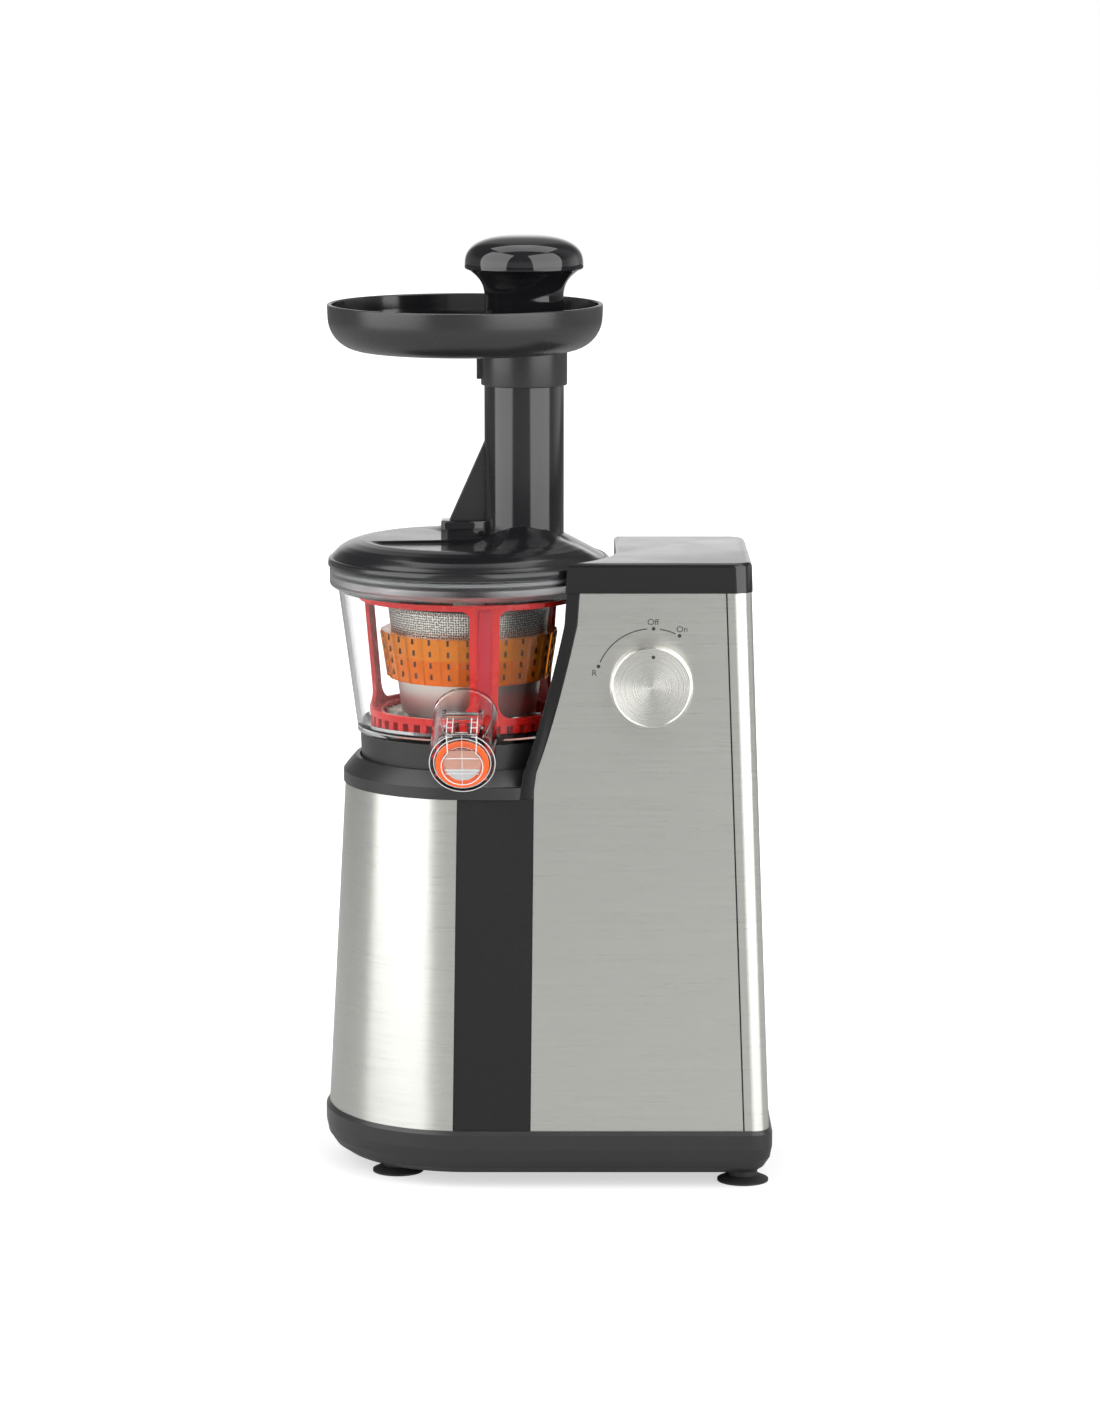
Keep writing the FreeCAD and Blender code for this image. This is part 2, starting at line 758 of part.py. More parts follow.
def make_motor():
    """Motor on the bowl axis: a can on the base's floor, stator with slots, coils, rotor, fan and shaft."""
    bracket = tube(can_radius + gearbox_wall, can_radius, motor_floor, box_z)
    bracket = bracket.fuse(rod(can_radius + can_floor, motor_floor, motor_plate))
    save("motor_bracket", bracket.cut(rod(bearing_radius, bearing_z, motor_plate + 1)))
    slot = block(bowl_x + rotor_radius, bowl_x + motor_radius - yoke, -slot_gap / 2, slot_gap / 2,
                 stator_z - 1, stator_top + 1)
    stator = tube(motor_radius, rotor_radius + air_gap, stator_z, stator_top)
    stator = stator.cut([about_bowl(slot, k * 360.0 / stator_slots) for k in range(stator_slots)])
    save("motor_stator", stator)
    coil_r = (rotor_radius + motor_radius) / 2.0
    coils = [tube(coil_r + coil_width / 2, coil_r - coil_width / 2, low, low + coil_height)
             for low in (stator_top + coil_gap, stator_z - coil_gap - coil_height)]
    save("stator_coils", Part.makeCompound(coils))
    save("motor_rotor", tube(rotor_radius, motor_shaft_radius, stator_z, stator_top))
    fan_low = motor_plate + bearing_width + fan_low_gap
    fan_high = stator_z - fan_high_gap
    blade = block(bowl_x + fan_hub - 2.0, bowl_x + fan_radius, -fan_blade / 2, fan_blade / 2,
                  fan_low, fan_high)
    hub = tube(fan_hub, motor_shaft_radius, fan_low, fan_high)
    save("cooling_fan", fuse([hub] + [about_bowl(blade, k * 360.0 / fan_blades) for k in range(fan_blades)]))
    shaft = rod(motor_shaft_radius, bearing_z, stage_z[0] + planet_width)
    sun = gear(sun_teeth, planet_module, 0.0, stage_z[0], stage_z[0] + planet_width, bowl_x, 0.0)
    save("motor_shaft", shaft.fuse(sun))


def planet_spots():
    return [(90.0 + k * 360.0 / planets, polar(planet_orbit, 90.0 + k * 360.0 / planets))
            for k in range(planets)]


def make_planets():
    """Three planets a stage. Each is turned so that its teeth mesh with the sun at rest."""
    for stage, z0 in enumerate(stage_z):
        for k, (angle, spot) in enumerate(planet_spots()):
            turn = angle + 180.0 + 180.0 / planet_teeth
            wheel = gear(planet_teeth, planet_module, turn, z0, z0 + planet_width, spot.x, spot.y)
            pin_hole = rod(planet_pin_radius + running, z0 - 1, z0 + planet_width + 1, spot.x, spot.y)
            save("planet_%d%s" % (stage + 1, "abc"[k]), wheel.cut(pin_hole))


def carrier(stage):
    """Plate above a stage's planets, with a pin down through each of them."""
    plate_z = stage_z[stage] + planet_width + stage_gap
    plate = rod(planet_orbit + planet_pin_radius + carrier_rim, plate_z, plate_z + carrier_plate)
    return [plate] + [rod(planet_pin_radius, stage_z[stage], plate_z, spot.x, spot.y)
                      for angle, spot in planet_spots()]


def make_carriers():
    """The first carrier bears the second stage's sun. The second one is the foot of the output shaft."""
    second_sun = gear(sun_teeth, planet_module, 0.0, carrier_tops[0], stage_z[1] + planet_width, bowl_x, 0.0)
    save("carrier_1", fuse(carrier(0) + [second_sun]))
    shaft = rod(output_radius, carrier_tops[1], floor_z)
    drive_end = hexagon(hex_across, floor_z, gear_z + socket_depth - hex_end)
    save("output_shaft", fuse(carrier(1) + [shaft, drive_end]))


def make_gearbox():
    """Gearbox housing on the motor can, with the ring teeth of both stages inside, and all the bearings."""
    ring_root = planet_module * (ring_teeth / 2.0 + dedendum)
    cavity = gear(ring_teeth, planet_module, 0.0, box_z + carrier_plate, carrier_tops[1] + stage_gap,
                  bowl_x, 0.0, True)
    box = rod(ring_root + gearbox_wall, box_z, box_top + bearing_width)
    box = box.fuse(rod(can_radius + gearbox_wall, box_z, box_z + carrier_plate))
    box = box.cut([cavity, rod(bearing_radius, box_z - 1, box_z + carrier_plate + 1),
                   rod(output_radius + output_room, box_z, BIG), rod(bearing_radius, box_top, BIG)])
    save("gearbox_housing", box)
    bearings = [(motor_shaft_radius, bearing_z), (motor_shaft_radius, box_z + carrier_plate - bearing_width),
                (output_radius, box_top), (output_radius, seat_z - well_depth - bearing_width)]
    rings = [tube(bearing_radius, bore + running, z, z + bearing_width) for bore, z in bearings]
    save("shaft_bearings", Part.makeCompound(rings))


def spout_frame(turn, reach, tilt):
    out = V(math.cos(math.radians(turn)) * math.cos(math.radians(tilt)),
            math.sin(math.radians(turn)) * math.cos(math.radians(tilt)), -math.sin(math.radians(tilt)))
    mouth = polar(bowl_foot_radius + reach, turn, bowl_z - spout_drop)
    return mouth, out


def bowl_outside():
    """Outline of the clear bowl: foot, sloping wall, and a rim band that stands out."""
    return [(0, bowl_z), (bowl_foot_radius, bowl_z), (bowl_foot_radius, bowl_z + foot_land),
            (bowl_top_radius, band_z - rim_flare), (band_radius - band_edge, band_z),
            (band_radius, band_z + band_edge_height), (band_radius, lid_z), (0, lid_z)]


def bowl_inside():
    foot = bowl_foot_radius - wall
    return [(0, floor_z), (foot - floor_round_in, floor_z), (foot + wall_root, floor_z + floor_round),
            (bowl_top_radius - wall, band_z - rim_flare), (band_radius - band_wall, band_z + band_seat),
            (band_radius - band_wall, lid_z + 1), (0, lid_z + 1)]


def bowl_wall_inside(z):
    """Inner radius of the clear wall at height z."""
    low, high = bowl_inside()[2], bowl_inside()[3]
    return low[0] + (high[0] - low[0]) * (z - low[1]) / (high[1] - low[1])


def inner_chute(depth, extra):
    """The way through the pulp chute, which is also the form of its plug."""
    return chute_prism(chute_width - 2 * chute_wall, chute_height - 2 * chute_wall, depth, extra)


def make_bowl():
    """Clear bowl: its wall, floor and gear posts, with the ways out for juice and pulp cut through."""
    shape = turned(bowl_outside()).cut(turned(bowl_inside()))
    orbit = gear_module * (screw_teeth + idler_teeth()) / 2.0
    posts = []
    for k in range(3):
        spot = polar(orbit, idler_angle + 120.0 * k)
        radius = idler_pin_radius if k == 0 else post_radius
        posts.append(rod(radius, floor_z - post_root, strainer_z, spot.x, spot.y))
    shape = shape.fuse(posts)
    shape = shape.cut(rod(output_radius + seal_wall + output_room, bowl_z - 1, floor_z + 1))
    mouth, out = spout_frame(spout_turn, spout_reach, spout_tilt)
    back = spout_reach + spout_root
    run = chute_reach() + 2.0 * chute_height
    bore = Part.makeCylinder(spout_radius - spout_wall, back, mouth - out * back, out)
    above_floor = block(-BIG, BIG, -BIG, BIG, floor_z, band_z)
    save("bowl", shape.cut([bore.common(above_floor), inner_chute(run, 1.0).common(above_floor)]))


def make_spouts():
    """Juice spout and pulp chute, both ending on the bowl's wall, and the plug in the chute."""
    taken = [turned(bowl_outside()), rod(bowl_foot_radius, 0, bowl_z)]
    mouth, out = spout_frame(spout_turn, spout_reach, spout_tilt)
    back = spout_reach + spout_root
    spout = Part.makeCylinder(spout_radius, back, mouth - out * back, out)
    hole = Part.makeCylinder(spout_radius - spout_wall, BIG, mouth - out * back, out)
    save("juice_spout", largest(spout.cut(taken + [hole])))
    run = chute_reach() + 2.0 * chute_height
    chute = chute_prism(chute_width, chute_height, run, 0.0)
    save("pulp_chute", largest(chute.cut(taken + [inner_chute(run + 1.0, 1.0)])))
    save("pulp_plug", chute_prism(chute_width - 2 * (chute_wall + plug_gap),
                                  chute_height - 2 * (chute_wall + plug_gap), plug_depth, -2 * plug_gap))
    make_flap(mouth, out)


def make_ring():
    """Black ring under the bowl, which stands in the shoulder's well, and the seal round the shaft."""
    low = seat_z - well_depth + bowl_gap
    inner = ring_radius - ring_wall
    save("bowl_ring", turned([(inner, low), (ring_radius - ring_foot_inset, low), (ring_radius, bowl_z),
                              (inner, bowl_z)]))
    seal_radius = output_radius + seal_wall + output_room
    save("shaft_seal", tube(seal_radius, output_radius + seal_gap, bowl_z, floor_z))


def largest(shape):
    return sorted(shape.Solids, key=lambda s: s.Volume)[-1]


def chute_prism(width, height, depth, extra):
    """Square-section prism along the pulp chute, from inside the bowl to its mouth."""
    mouth, out = spout_frame(90.0, chute_reach(), chute_tilt)
    prism = Part.makeBox(width, height, depth + extra)
    prism.translate(V(-width / 2, -height / 2, -depth))
    side = V(1, 0, 0)
    rise = out.cross(side)
    return placed(prism, local_frame(side, rise, out, mouth))


def placed(shape, frame):
    moved = shape.copy()
    moved.Placement = FreeCAD.Placement(frame).multiply(moved.Placement)
    return moved


def chute_reach():
    """The chute ends as far out as the juice spout's flap does, so the box stays centred."""
    mouth, out = spout_frame(spout_turn, spout_reach, spout_tilt)
    front = -(mouth.y + out.y * (flap_seal + flap_gap + flap_wall))
    near = front + math.sin(math.radians(spout_tilt)) * flap_reach()
    return near - bowl_foot_radius - math.sin(math.radians(chute_tilt)) * chute_height / 2.0


def idler_teeth():
    return (cage_teeth - screw_teeth) // 2


def flap_reach():
    """Height of the flap's arm above the middle of the mouth."""
    return spout_radius + flap_gap + flap_wall


def local_frame(side, rise, out, origin):
    return FreeCAD.Matrix(side.x, rise.x, out.x, origin.x, side.y, rise.y, out.y, origin.y,
                          side.z, rise.z, out.z, origin.z, 0, 0, 0, 1)


def make_flap(mouth, out):
    """Clear flap over the juice mouth with a silicone seal behind it, hinged on top of the spout."""
    side = V(0, 0, 1).cross(out)
    side.normalize()
    rise = out.cross(side)
    seal = Part.makeCylinder(spout_radius - spout_wall - seal_inset, flap_seal, mouth + out * flap_gap, out)
    save("flap_seal", seal)
    front = mouth + out * (flap_gap + flap_seal)
    disc = Part.makeCylinder(flap_radius, flap_wall, front, out)
    frame = local_frame(side, rise, out, front)
    arm = placed(Part.makeBox(flap_width, flap_reach(), flap_wall, V(-flap_width / 2, 0, 0)), frame)
    back = placed(Part.makeBox(flap_width, flap_wall, flap_length,
                               V(-flap_width / 2, flap_reach() - flap_wall, flap_wall - flap_length)),
                  frame)
    pivot = mouth + rise * (spout_radius + flap_gap + hinge_radius) - out * hinge_back
    knuckle = Part.makeCylinder(hinge_radius, flap_width, pivot - side * (flap_width / 2), side)
    bore = Part.makeCylinder(hinge_pin_radius + running, BIG, pivot - side * (BIG / 2), side)
    save("spout_flap", fuse([disc, arm, back, knuckle]).cut(bore))
    span = flap_width + 2 * (ear_width + flap_gap)
    save("flap_pin", Part.makeCylinder(hinge_pin_radius, span, pivot - side * (span / 2), side))
    spout = Part.makeCylinder(spout_radius, spout_reach, mouth - out * spout_reach, out)
    hole = Part.makeCylinder(hinge_pin_radius, BIG, pivot - side * (BIG / 2), side)
    ears = []
    for sign in (-1, 1):
        ear = Part.makeBox(ear_width, ear_height, 2 * hinge_radius,
                           V(-ear_width / 2, hinge_radius - ear_height, -hinge_radius))
        at = pivot + side * (sign * (flap_width / 2 + flap_gap + ear_width / 2))
        ears.append(placed(ear, local_frame(side, rise, out, at)).cut([spout, hole]))
    save("flap_ears", Part.makeCompound(ears))


def make_screw():
    """Screw with a tapered core, a helical flight, its gear and the hex socket for the shaft."""
    foot = strainer_z + strainer_wall + screw_foot_gap
    top = strainer_top + screw_above
    root = gear_module * (screw_teeth / 2.0 - dedendum) - neck_gap
    pin_z = top + screw_round
    neck_z = gear_top + neck_gap
    core = turned([(0, gear_z), (root, gear_z), (root, neck_z), (screw_neck, neck_z), (screw_neck, foot),
                   (screw_core_foot, foot + screw_round), (screw_core_top, top),
                   (screw_pin_radius, pin_z), (screw_pin_radius, pin_z + screw_pin_length),
                   (0, pin_z + screw_pin_length)])
    reach = strainer_foot_radius - strainer_wall - screw_gap
    slope = (strainer_top_radius - strainer_foot_radius) / strainer_height
    room = turned([(0, foot), (reach, foot), (reach + slope * (top - foot), top), (0, top)])
    flight = make_flight(reach, foot + flight_start).common(room)
    wheel = gear(screw_teeth, gear_module, idler_angle, gear_z, gear_top, bowl_x, 0.0)
    socket = hexagon(hex_across + 2 * hex_clearance, gear_z - 1, gear_z + socket_depth)
    save("screw", core.fuse([flight, wheel]).cut(socket))


def make_flight(reach, low):
    """Helical flight, swept along a helix at its middle radius. It is trimmed to the strainer later."""
    middle = (reach + screw_core_top) / 2.0
    spine = Part.Wire(Part.makeHelix(flight_pitch, flight_pitch * flight_turns, middle).Edges)
    spine.translate(V(0, 0, low))
    deep = (reach - screw_core_top) / 2.0 + flight_root
    high = flight_width / 2.0
    edge = high * flight_taper
    corners = [V(middle - deep, 0, low - high), V(middle + deep, 0, low - edge),
               V(middle + deep, 0, low + edge), V(middle - deep, 0, low + high)]
    sweep = Part.BRepOffsetAPI.MakePipeShell(spine)
    sweep.setFrenetMode(True)
    sweep.add(Part.makePolygon(corners + [corners[0]]))
    sweep.build()
    sweep.makeSolid()
    flight = sweep.shape()
    flight.translate(V(bowl_x, 0, 0))
    return flight


def make_strainer():
    """Conical strainer, and the amber frame of band and ribs clipped round its middle."""
    inner_foot = strainer_foot_radius - strainer_wall
    inner_top = strainer_top_radius - strainer_wall
    hole = screw_neck + neck_room
    save("strainer", turned([(hole, strainer_z), (strainer_foot_radius, strainer_z),
                             (strainer_top_radius, strainer_top), (inner_top, strainer_top),
                             (inner_foot, strainer_z + strainer_wall), (hole, strainer_z + strainer_wall)]))
    slope = (strainer_top_radius - strainer_foot_radius) / strainer_height
    low = strainer_z + frame_low
    high = low + frame_height
    inner_low = strainer_foot_radius + slope * frame_low + frame_gap
    inner_high = inner_low + slope * frame_height
    band = turned([(inner_low, low), (frame_foot_radius, low), (frame_top_radius, high), (inner_high, high)])
    ribs = [about_bowl(turned_rib(low, high), k * 360.0 / frame_ribs) for k in range(frame_ribs)]
    save("strainer_frame", fuse([band] + ribs))


def turned_rib(low, high):
    """Upright rib that leans with the amber frame."""
    pts = [V(bowl_x + frame_foot_radius - rib_root, -rib_width / 2, low),
           V(bowl_x + frame_foot_radius + rib_height, -rib_width / 2, low),
           V(bowl_x + frame_top_radius + rib_height, -rib_width / 2, high),
           V(bowl_x + frame_top_radius - rib_root, -rib_width / 2, high)]
    return Part.Face(Part.makePolygon(pts + [pts[0]])).extrude(V(0, rib_width, 0))


def make_cage():
    """Brush cage: two bands and three bars of a tapered shell, with hanging gear teeth."""
    top = cage_z + cage_height
    shell_cone = turned([(cage_foot_radius - cage_wall, cage_z), (cage_foot_radius, cage_z),
                         (cage_top_radius, top), (cage_top_radius - cage_wall, top)])
    bar = block(bowl_x, bowl_x + cage_top_radius + 5, -cage_bar_width / 2, cage_bar_width / 2,
                cage_z, top)
    zones = [about_bowl(bar, cage_bar_angle + k * 360.0 / cage_bars) for k in range(cage_bars)]
    low_band = rod(cage_top_radius + 5, cage_z, cage_z + cage_foot_band)
    high_band = rod(cage_top_radius + 5, top - cage_top_band, top)
    cage = shell_cone.common(fuse(zones + [low_band, high_band]))
    corners = [e for e in cage.Edges if is_window_corner(e, top)]
    cage = cage.makeFillet(window_corner, corners)
    tip = gear_module * (cage_teeth / 2.0 - addendum)
    root = gear_module * (cage_teeth / 2.0 + addendum)
    shelf = tube(cage_foot_radius - cage_wall + shelf_overlap, tip, cage_z, cage_z + cage_shelf)
    outline = gear(cage_teeth, gear_module, idler_angle, gear_z, cage_z, bowl_x, 0.0, True)
    teeth = rod(root, gear_z, cage_z).cut(outline)
    save("brush_cage", fuse([cage, shelf] + teeth.Solids))


def make_wipers():
    """One wiper blade on each bar of the cage. Its outer edge runs along the bowl's wall."""
    top = cage_z + cage_height
    low = cage_z + cage_foot_band + blade_rise
    high = top - cage_top_band + blade_lap
    blades = []
    for k in range(cage_bars):
        slab = block(bowl_x, bowl_x + band_radius, -blade_width / 2, blade_width / 2, low, high)
        blades.append(about_bowl(slab, cage_bar_angle + k * 360.0 / cage_bars))
    reach = turned([(0, low), (bowl_wall_inside(low) - blade_clear, low),
                    (bowl_wall_inside(high) - blade_clear, high), (0, high)])
    core = turned([(0, cage_z), (cage_foot_radius, cage_z), (cage_top_radius, top), (0, top)])
    blades = [blade.common(reach).cut(core) for blade in blades]
    save("wiper_blades", Part.makeCompound(blades))


def is_window_corner(edge, top):
    """True for the short radial edges where a bar meets a band."""
    if edge.Length > cage_wall * 2.0 or len(edge.Vertexes) != 2:
        return False
    box = edge.BoundBox
    flat = box.ZLength < 0.01
    return flat and (abs(box.ZMin - cage_z - cage_foot_band) < 0.01
                     or abs(box.ZMin - top + cage_top_band) < 0.01)


def make_idler():
    idler_r = gear_module * (screw_teeth + idler_teeth()) / 2.0
    spot = polar(idler_r, idler_angle)
    wheel = gear(idler_teeth(), gear_module, idler_angle + 180.0 / idler_teeth(), gear_z, gear_top,
                 spot.x, spot.y)
    save("idler_gear", wheel.cut(rod(idler_pin_radius + running, gear_z - 1, gear_top + 1,
                                     spot.x, spot.y)))


def lid_outside():
    """Lid's outline: an upright rim, a rounded shoulder and a flat deck."""
    rise = lid_z + tray_lift
    edge = lid_rim_radius
    side, over, onto = [(edge - inward, lid_top - down) for inward, down in lid_shoulder]
    return [(0, rise), (edge - lid_edge, rise), (edge, rise + lid_edge_height), (side, over),
            (onto, (edge - deck_edge, lid_top)), (0, lid_top)]


def lid_skirt_cone():
    """Cone about the bowl axis that lifts the deck to the feed tube's foot, inside a cone about the tube."""
    foot = lid_rim_radius - skirt_foot
    top = lid_top + skirt_height
    cone = turned([(0, lid_top - 1), (foot + 1 / skirt_slope, lid_top - 1),
                   (foot - skirt_height / skirt_slope, top), (0, top)])
    about_tube = [(0, lid_top - 1), (tube_radius + skirt_reach, lid_top - 1), (tube_radius, top), (0, top)]
    return cone.common(turned(about_tube, feed_x))


def make_lid():
    """Lid with a hollow dome, a spigot with a seal's groove, a scoop in its deck and a bush for the screw."""
    rise = lid_z + tray_lift
    under = lid_top - lid_wall - scoop_depth
    rim = lid_rim_radius - lid_rim_wall
    hollow = turned([(0, rise - 1), (rim, rise - 1), (rim, rise + lid_rim_height),
                     (lid_rim_radius - lid_hollow[0], lid_top - lid_hollow[1]),
                     (lid_rim_radius - deck_edge - lid_wall, under), (0, under)])
    spigot = band_radius - band_wall - spigot_gap
    skirt = tube(spigot, spigot - lid_skirt_wall, lid_z - lid_skirt, under + lid_wall)
    skirt = skirt.common(turned(lid_outside()).fuse(rod(spigot, lid_z - lid_skirt, rise)))
    seal_z = lid_z - lid_skirt + groove_rise
    groove = tube(spigot + 1, spigot - groove_depth, seal_z, seal_z + seal_height)
    tube_room = rod(tube_radius + running, 0, BIG, feed_x)
    dome = turned(lid_outside()).cut([hollow, deck_scoop()]).fuse([skirt, lid_skirt_cone()])
    hub = tube(bush_radius + bush_wall, bush_radius, lid_z - bush_drop, under)
    save("lid", dome.cut([groove, tube_room]).fuse(hub.cut(tube_room)))
    save("lid_seal", tube(spigot + seal_squeeze, spigot - groove_depth, seal_z, seal_z + seal_height))
    bush = tube(bush_radius, screw_pin_radius + running, lid_z - bush_drop, under)
    save("lid_bush", bush.cut(tube_room))


def deck_scoop():
    """Shallow scoop in front of the flat deck. Its floor falls away from the deck's slanting front edge."""
    scoop = block(-BIG, BIG, -BIG, 0, 0, BIG)
    scoop.rotate(V(0, 0, 0), V(1, 0, 0), -scoop_tilt)
    scoop.rotate(V(0, 0, 0), UP, scoop_turn)
    scoop.translate(V(bowl_x, scoop_edge, lid_top - scoop_depth))
    return scoop.common(rod(lid_rim_radius - deck_edge, 0, lid_top + 1))


def make_feed():
    """Feed tube with the block and fin at its foot, and the rib that keeps the tray from turning."""
    foot = lid_top - lid_wall - scoop_depth
    left = feed_x - tube_radius
    pipe = rod(tube_radius, foot, tube_top, feed_x)
    boss = block(left - boss_length, feed_x, -boss_width / 2, boss_width / 2, lid_top, lid_top + boss_height)
    edges = [e for e in boss.Edges if e.BoundBox.XMax < left - boss_length + 0.01 and e.BoundBox.ZLength > 1]
    boss = boss.makeFillet(boss_round, edges)
    side = -gusset_width / 2
    pts = [V(feed_x, side, lid_top), V(left - gusset_foot, side, lid_top),
           V(left - gusset_foot, side, lid_top + boss_height), V(left, side, lid_top + gusset_height),
           V(feed_x, side, lid_top + gusset_height)]
    gusset = Part.Face(Part.makePolygon(pts + [pts[0]])).extrude(V(0, gusset_width, 0))
    rib = block(left - rib_out, feed_x, -rib_half, rib_half, lid_top, tray_z - collar_height - rib_drop)
    whole = fuse([pipe, fuse([boss, gusset, rib]).cut(lid_skirt_cone())])
    save("feed_tube", whole.cut(rod(tube_radius - tube_wall, foot - 1, tube_top + 1, feed_x)))


def make_tray():
    """Loading tray: a round dish off centre from its hole, and a collar that slips over the feed tube."""
    top = tray_z + tray_height
    floor = tray_z + tray_wall
    flat = tray_radius - tray_flat
    round_x = tray_radius - tray_round - tray_flare
    outer = [(0, tray_z), (flat, tray_z), corner(round_x, tray_z + tray_round, tray_round, -90, 0),
             (tray_radius, top), (0, top)]
    inner = [(0, floor), (flat, floor),
             corner(round_x, tray_z + tray_round, tray_round - tray_wall, -90, 0),
             (tray_radius - tray_wall, top), (tray_radius - tray_wall, top + 1), (0, top + 1)]
    dish = turned(outer, tray_x).cut(turned(inner, tray_x))
    dish = dish.fuse(rod(collar_radius, tray_z - collar_height, tray_z, feed_x))
    slot = block(feed_x - tube_radius - rib_out - rib_gap, feed_x, -rib_half - rib_gap, rib_half + rib_gap,
                 0, tray_z - collar_height / 2)
    save("loading_tray", dish.cut([rod(tube_radius + tray_lift, 0, tray_z, feed_x),
                                   rod(tube_radius - tube_wall, 0, BIG, feed_x), slot]))


def crown(radius, top):
    """Height of the pusher's domed top, a part of a ball, at a distance from the axis."""
    ball = (crown_rim ** 2 + crown_drop ** 2) / (2.0 * crown_drop)
    return top - ball + math.sqrt(ball ** 2 - radius ** 2)


def make_pusher():
    """Pusher: a hollow shaft, a neck that flares out, and a domed cap."""
    rest = tray_z + tray_wall + tray_lift
    shaft = tube_radius - tube_wall - pusher_gap
    cap_z = rest + neck_height
    top = cap_z + knob_cap_height
    flare = tuple((radius, cap_z - down) for radius, down in neck_flare)
    side = (knob_cap_radius - cap_side[0], cap_z + cap_side[1])
    outline = [(0, rest - pusher_depth), (shaft, rest - pusher_depth), (shaft, rest), (neck_radius, rest),
               (neck_radius, cap_z - neck_flare_height), flare,
               (knob_cap_radius - cap_foot[0], cap_z + cap_foot[1]),
               (side, (crown_rim, crown(crown_rim, top))),
               ((crown_rim / 2, crown(crown_rim / 2, top)), (0, top))]
    hollow = rod(shaft - pusher_shaft_wall, rest - pusher_depth - 1, rest + pusher_floor, feed_x)
    save("pusher", turned(outline, feed_x).cut(hollow))


def make_fittings():
    """Control board on the housing's far wall, its bosses and chips, and the screws under the base."""
    z = steel_z + board_rise
    face = half_width(z + board_height) - sheet - shell - board_off
    end = board_x + board_length
    save("control_board", block(board_x, end, face - board_sheet, face, z, z + board_height))
    inside = body(steel_z, tower_top, sheet + shell)
    reach = board_off + board_height * side_draft + 1.0
    bosses = [Part.makeCylinder(boss_radius, reach, V(x, face, h), V(0, 1, 0))
              for x in (board_x + board_margin, end - board_margin)
              for h in (z + board_margin, z + board_height - board_margin)]
    save("board_bosses", Part.makeCompound([boss.common(inside) for boss in bosses]))
    low = z + chip_rise
    lefts = [board_x + chip_width + chip_pitch * k for k in range(chips)]
    save("board_parts", Part.makeCompound([block(x, x + chip_width, face - board_sheet - chip_depth,
                                                 face - board_sheet, low, low + chip_height) for x in lefts]))
    heads = [rod(screw_head, base_z - screw_head_height, base_z, x, y) for x, y in screw_spots()]
    shanks = [rod(screw_radius, base_z, motor_floor, x, y) for x, y in screw_spots()]
    save("base_screws", Part.makeCompound([head.fuse(shank) for head, shank in zip(heads, shanks)]))


def screw_spots():
    return [(x, side * y) for x, y in screw_places for side in (-1, 1)]


make_column()
make_panels()
make_cover()
make_housing()
make_tower()
make_knob()
make_base()
make_feet()
make_shoulder()
make_motor()
make_planets()
make_carriers()
make_gearbox()
make_bowl()
make_spouts()
make_ring()
make_screw()
make_strainer()
make_cage()
make_wipers()
make_idler()
make_lid()
make_feed()
make_tray()
make_pusher()
make_fittings()
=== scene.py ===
# %% [markdown]
# An upright slow juicer: a brushed steel motor tower with a clear bowl beside it, and a lid, feed tube,
# loading tray and pusher stacked on the bowl. The frame holds the CAD parts at their real places, in
# metres, with +Z up and the juice spout and knob facing -Y. Each cell below adds one finish or one piece.

# %% Load the frame
import math

import bmesh
import bpy
import numpy as np
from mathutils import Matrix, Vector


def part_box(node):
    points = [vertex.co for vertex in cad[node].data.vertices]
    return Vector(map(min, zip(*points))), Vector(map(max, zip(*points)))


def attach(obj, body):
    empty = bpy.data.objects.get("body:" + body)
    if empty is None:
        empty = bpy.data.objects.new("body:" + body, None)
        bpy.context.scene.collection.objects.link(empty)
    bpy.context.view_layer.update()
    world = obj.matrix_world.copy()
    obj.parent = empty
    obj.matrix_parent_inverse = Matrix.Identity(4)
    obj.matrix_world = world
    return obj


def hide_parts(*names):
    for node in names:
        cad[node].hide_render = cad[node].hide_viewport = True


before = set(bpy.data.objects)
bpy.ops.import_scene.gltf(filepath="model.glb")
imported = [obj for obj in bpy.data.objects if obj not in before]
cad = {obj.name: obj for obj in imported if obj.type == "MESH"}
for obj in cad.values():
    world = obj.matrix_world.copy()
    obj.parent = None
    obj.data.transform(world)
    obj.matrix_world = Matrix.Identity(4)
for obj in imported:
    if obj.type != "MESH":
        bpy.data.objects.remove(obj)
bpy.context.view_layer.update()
MM = 0.001

# %% [markdown]
# The real juicer's main heights and radii are all in the frame already. A new piece takes them from the
# box of the node that it dresses, so that both stay at one place. Working in millimetres keeps the numbers
# close to what a ruler shows, and one factor turns them into Blender's metres at the end.

# %% Measures taken from the frame


def reach(node):
    """Lowest and highest corner of a node, in millimetres."""
    low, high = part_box(node)
    return np.array(low) / MM, np.array(high) / MM


bowl_low, bowl_high = reach("bowl_ring")
BOWL_X = (bowl_low[0] + bowl_high[0]) / 2
tray_low, tray_high = reach("loading_tray")
pusher_low, pusher_high = reach("pusher")
FEED_X = (pusher_low[0] + pusher_high[0]) / 2
TRAY_X = (tray_low[0] + tray_high[0]) / 2
print("bowl axis", round(BOWL_X, 1), "feed axis", round(FEED_X, 1), "tray axis", round(TRAY_X, 1))

# %% [markdown]
# Every turned or swept piece is a grid of points: one direction runs round the piece, the other along its
# outline. A grid needs no vertex loop, because numpy works out all its points at once, and its four-sided
# faces follow from the row and column numbers. The mesh is then cleaned, smoothed and put on its body.

# %% Grids and meshes


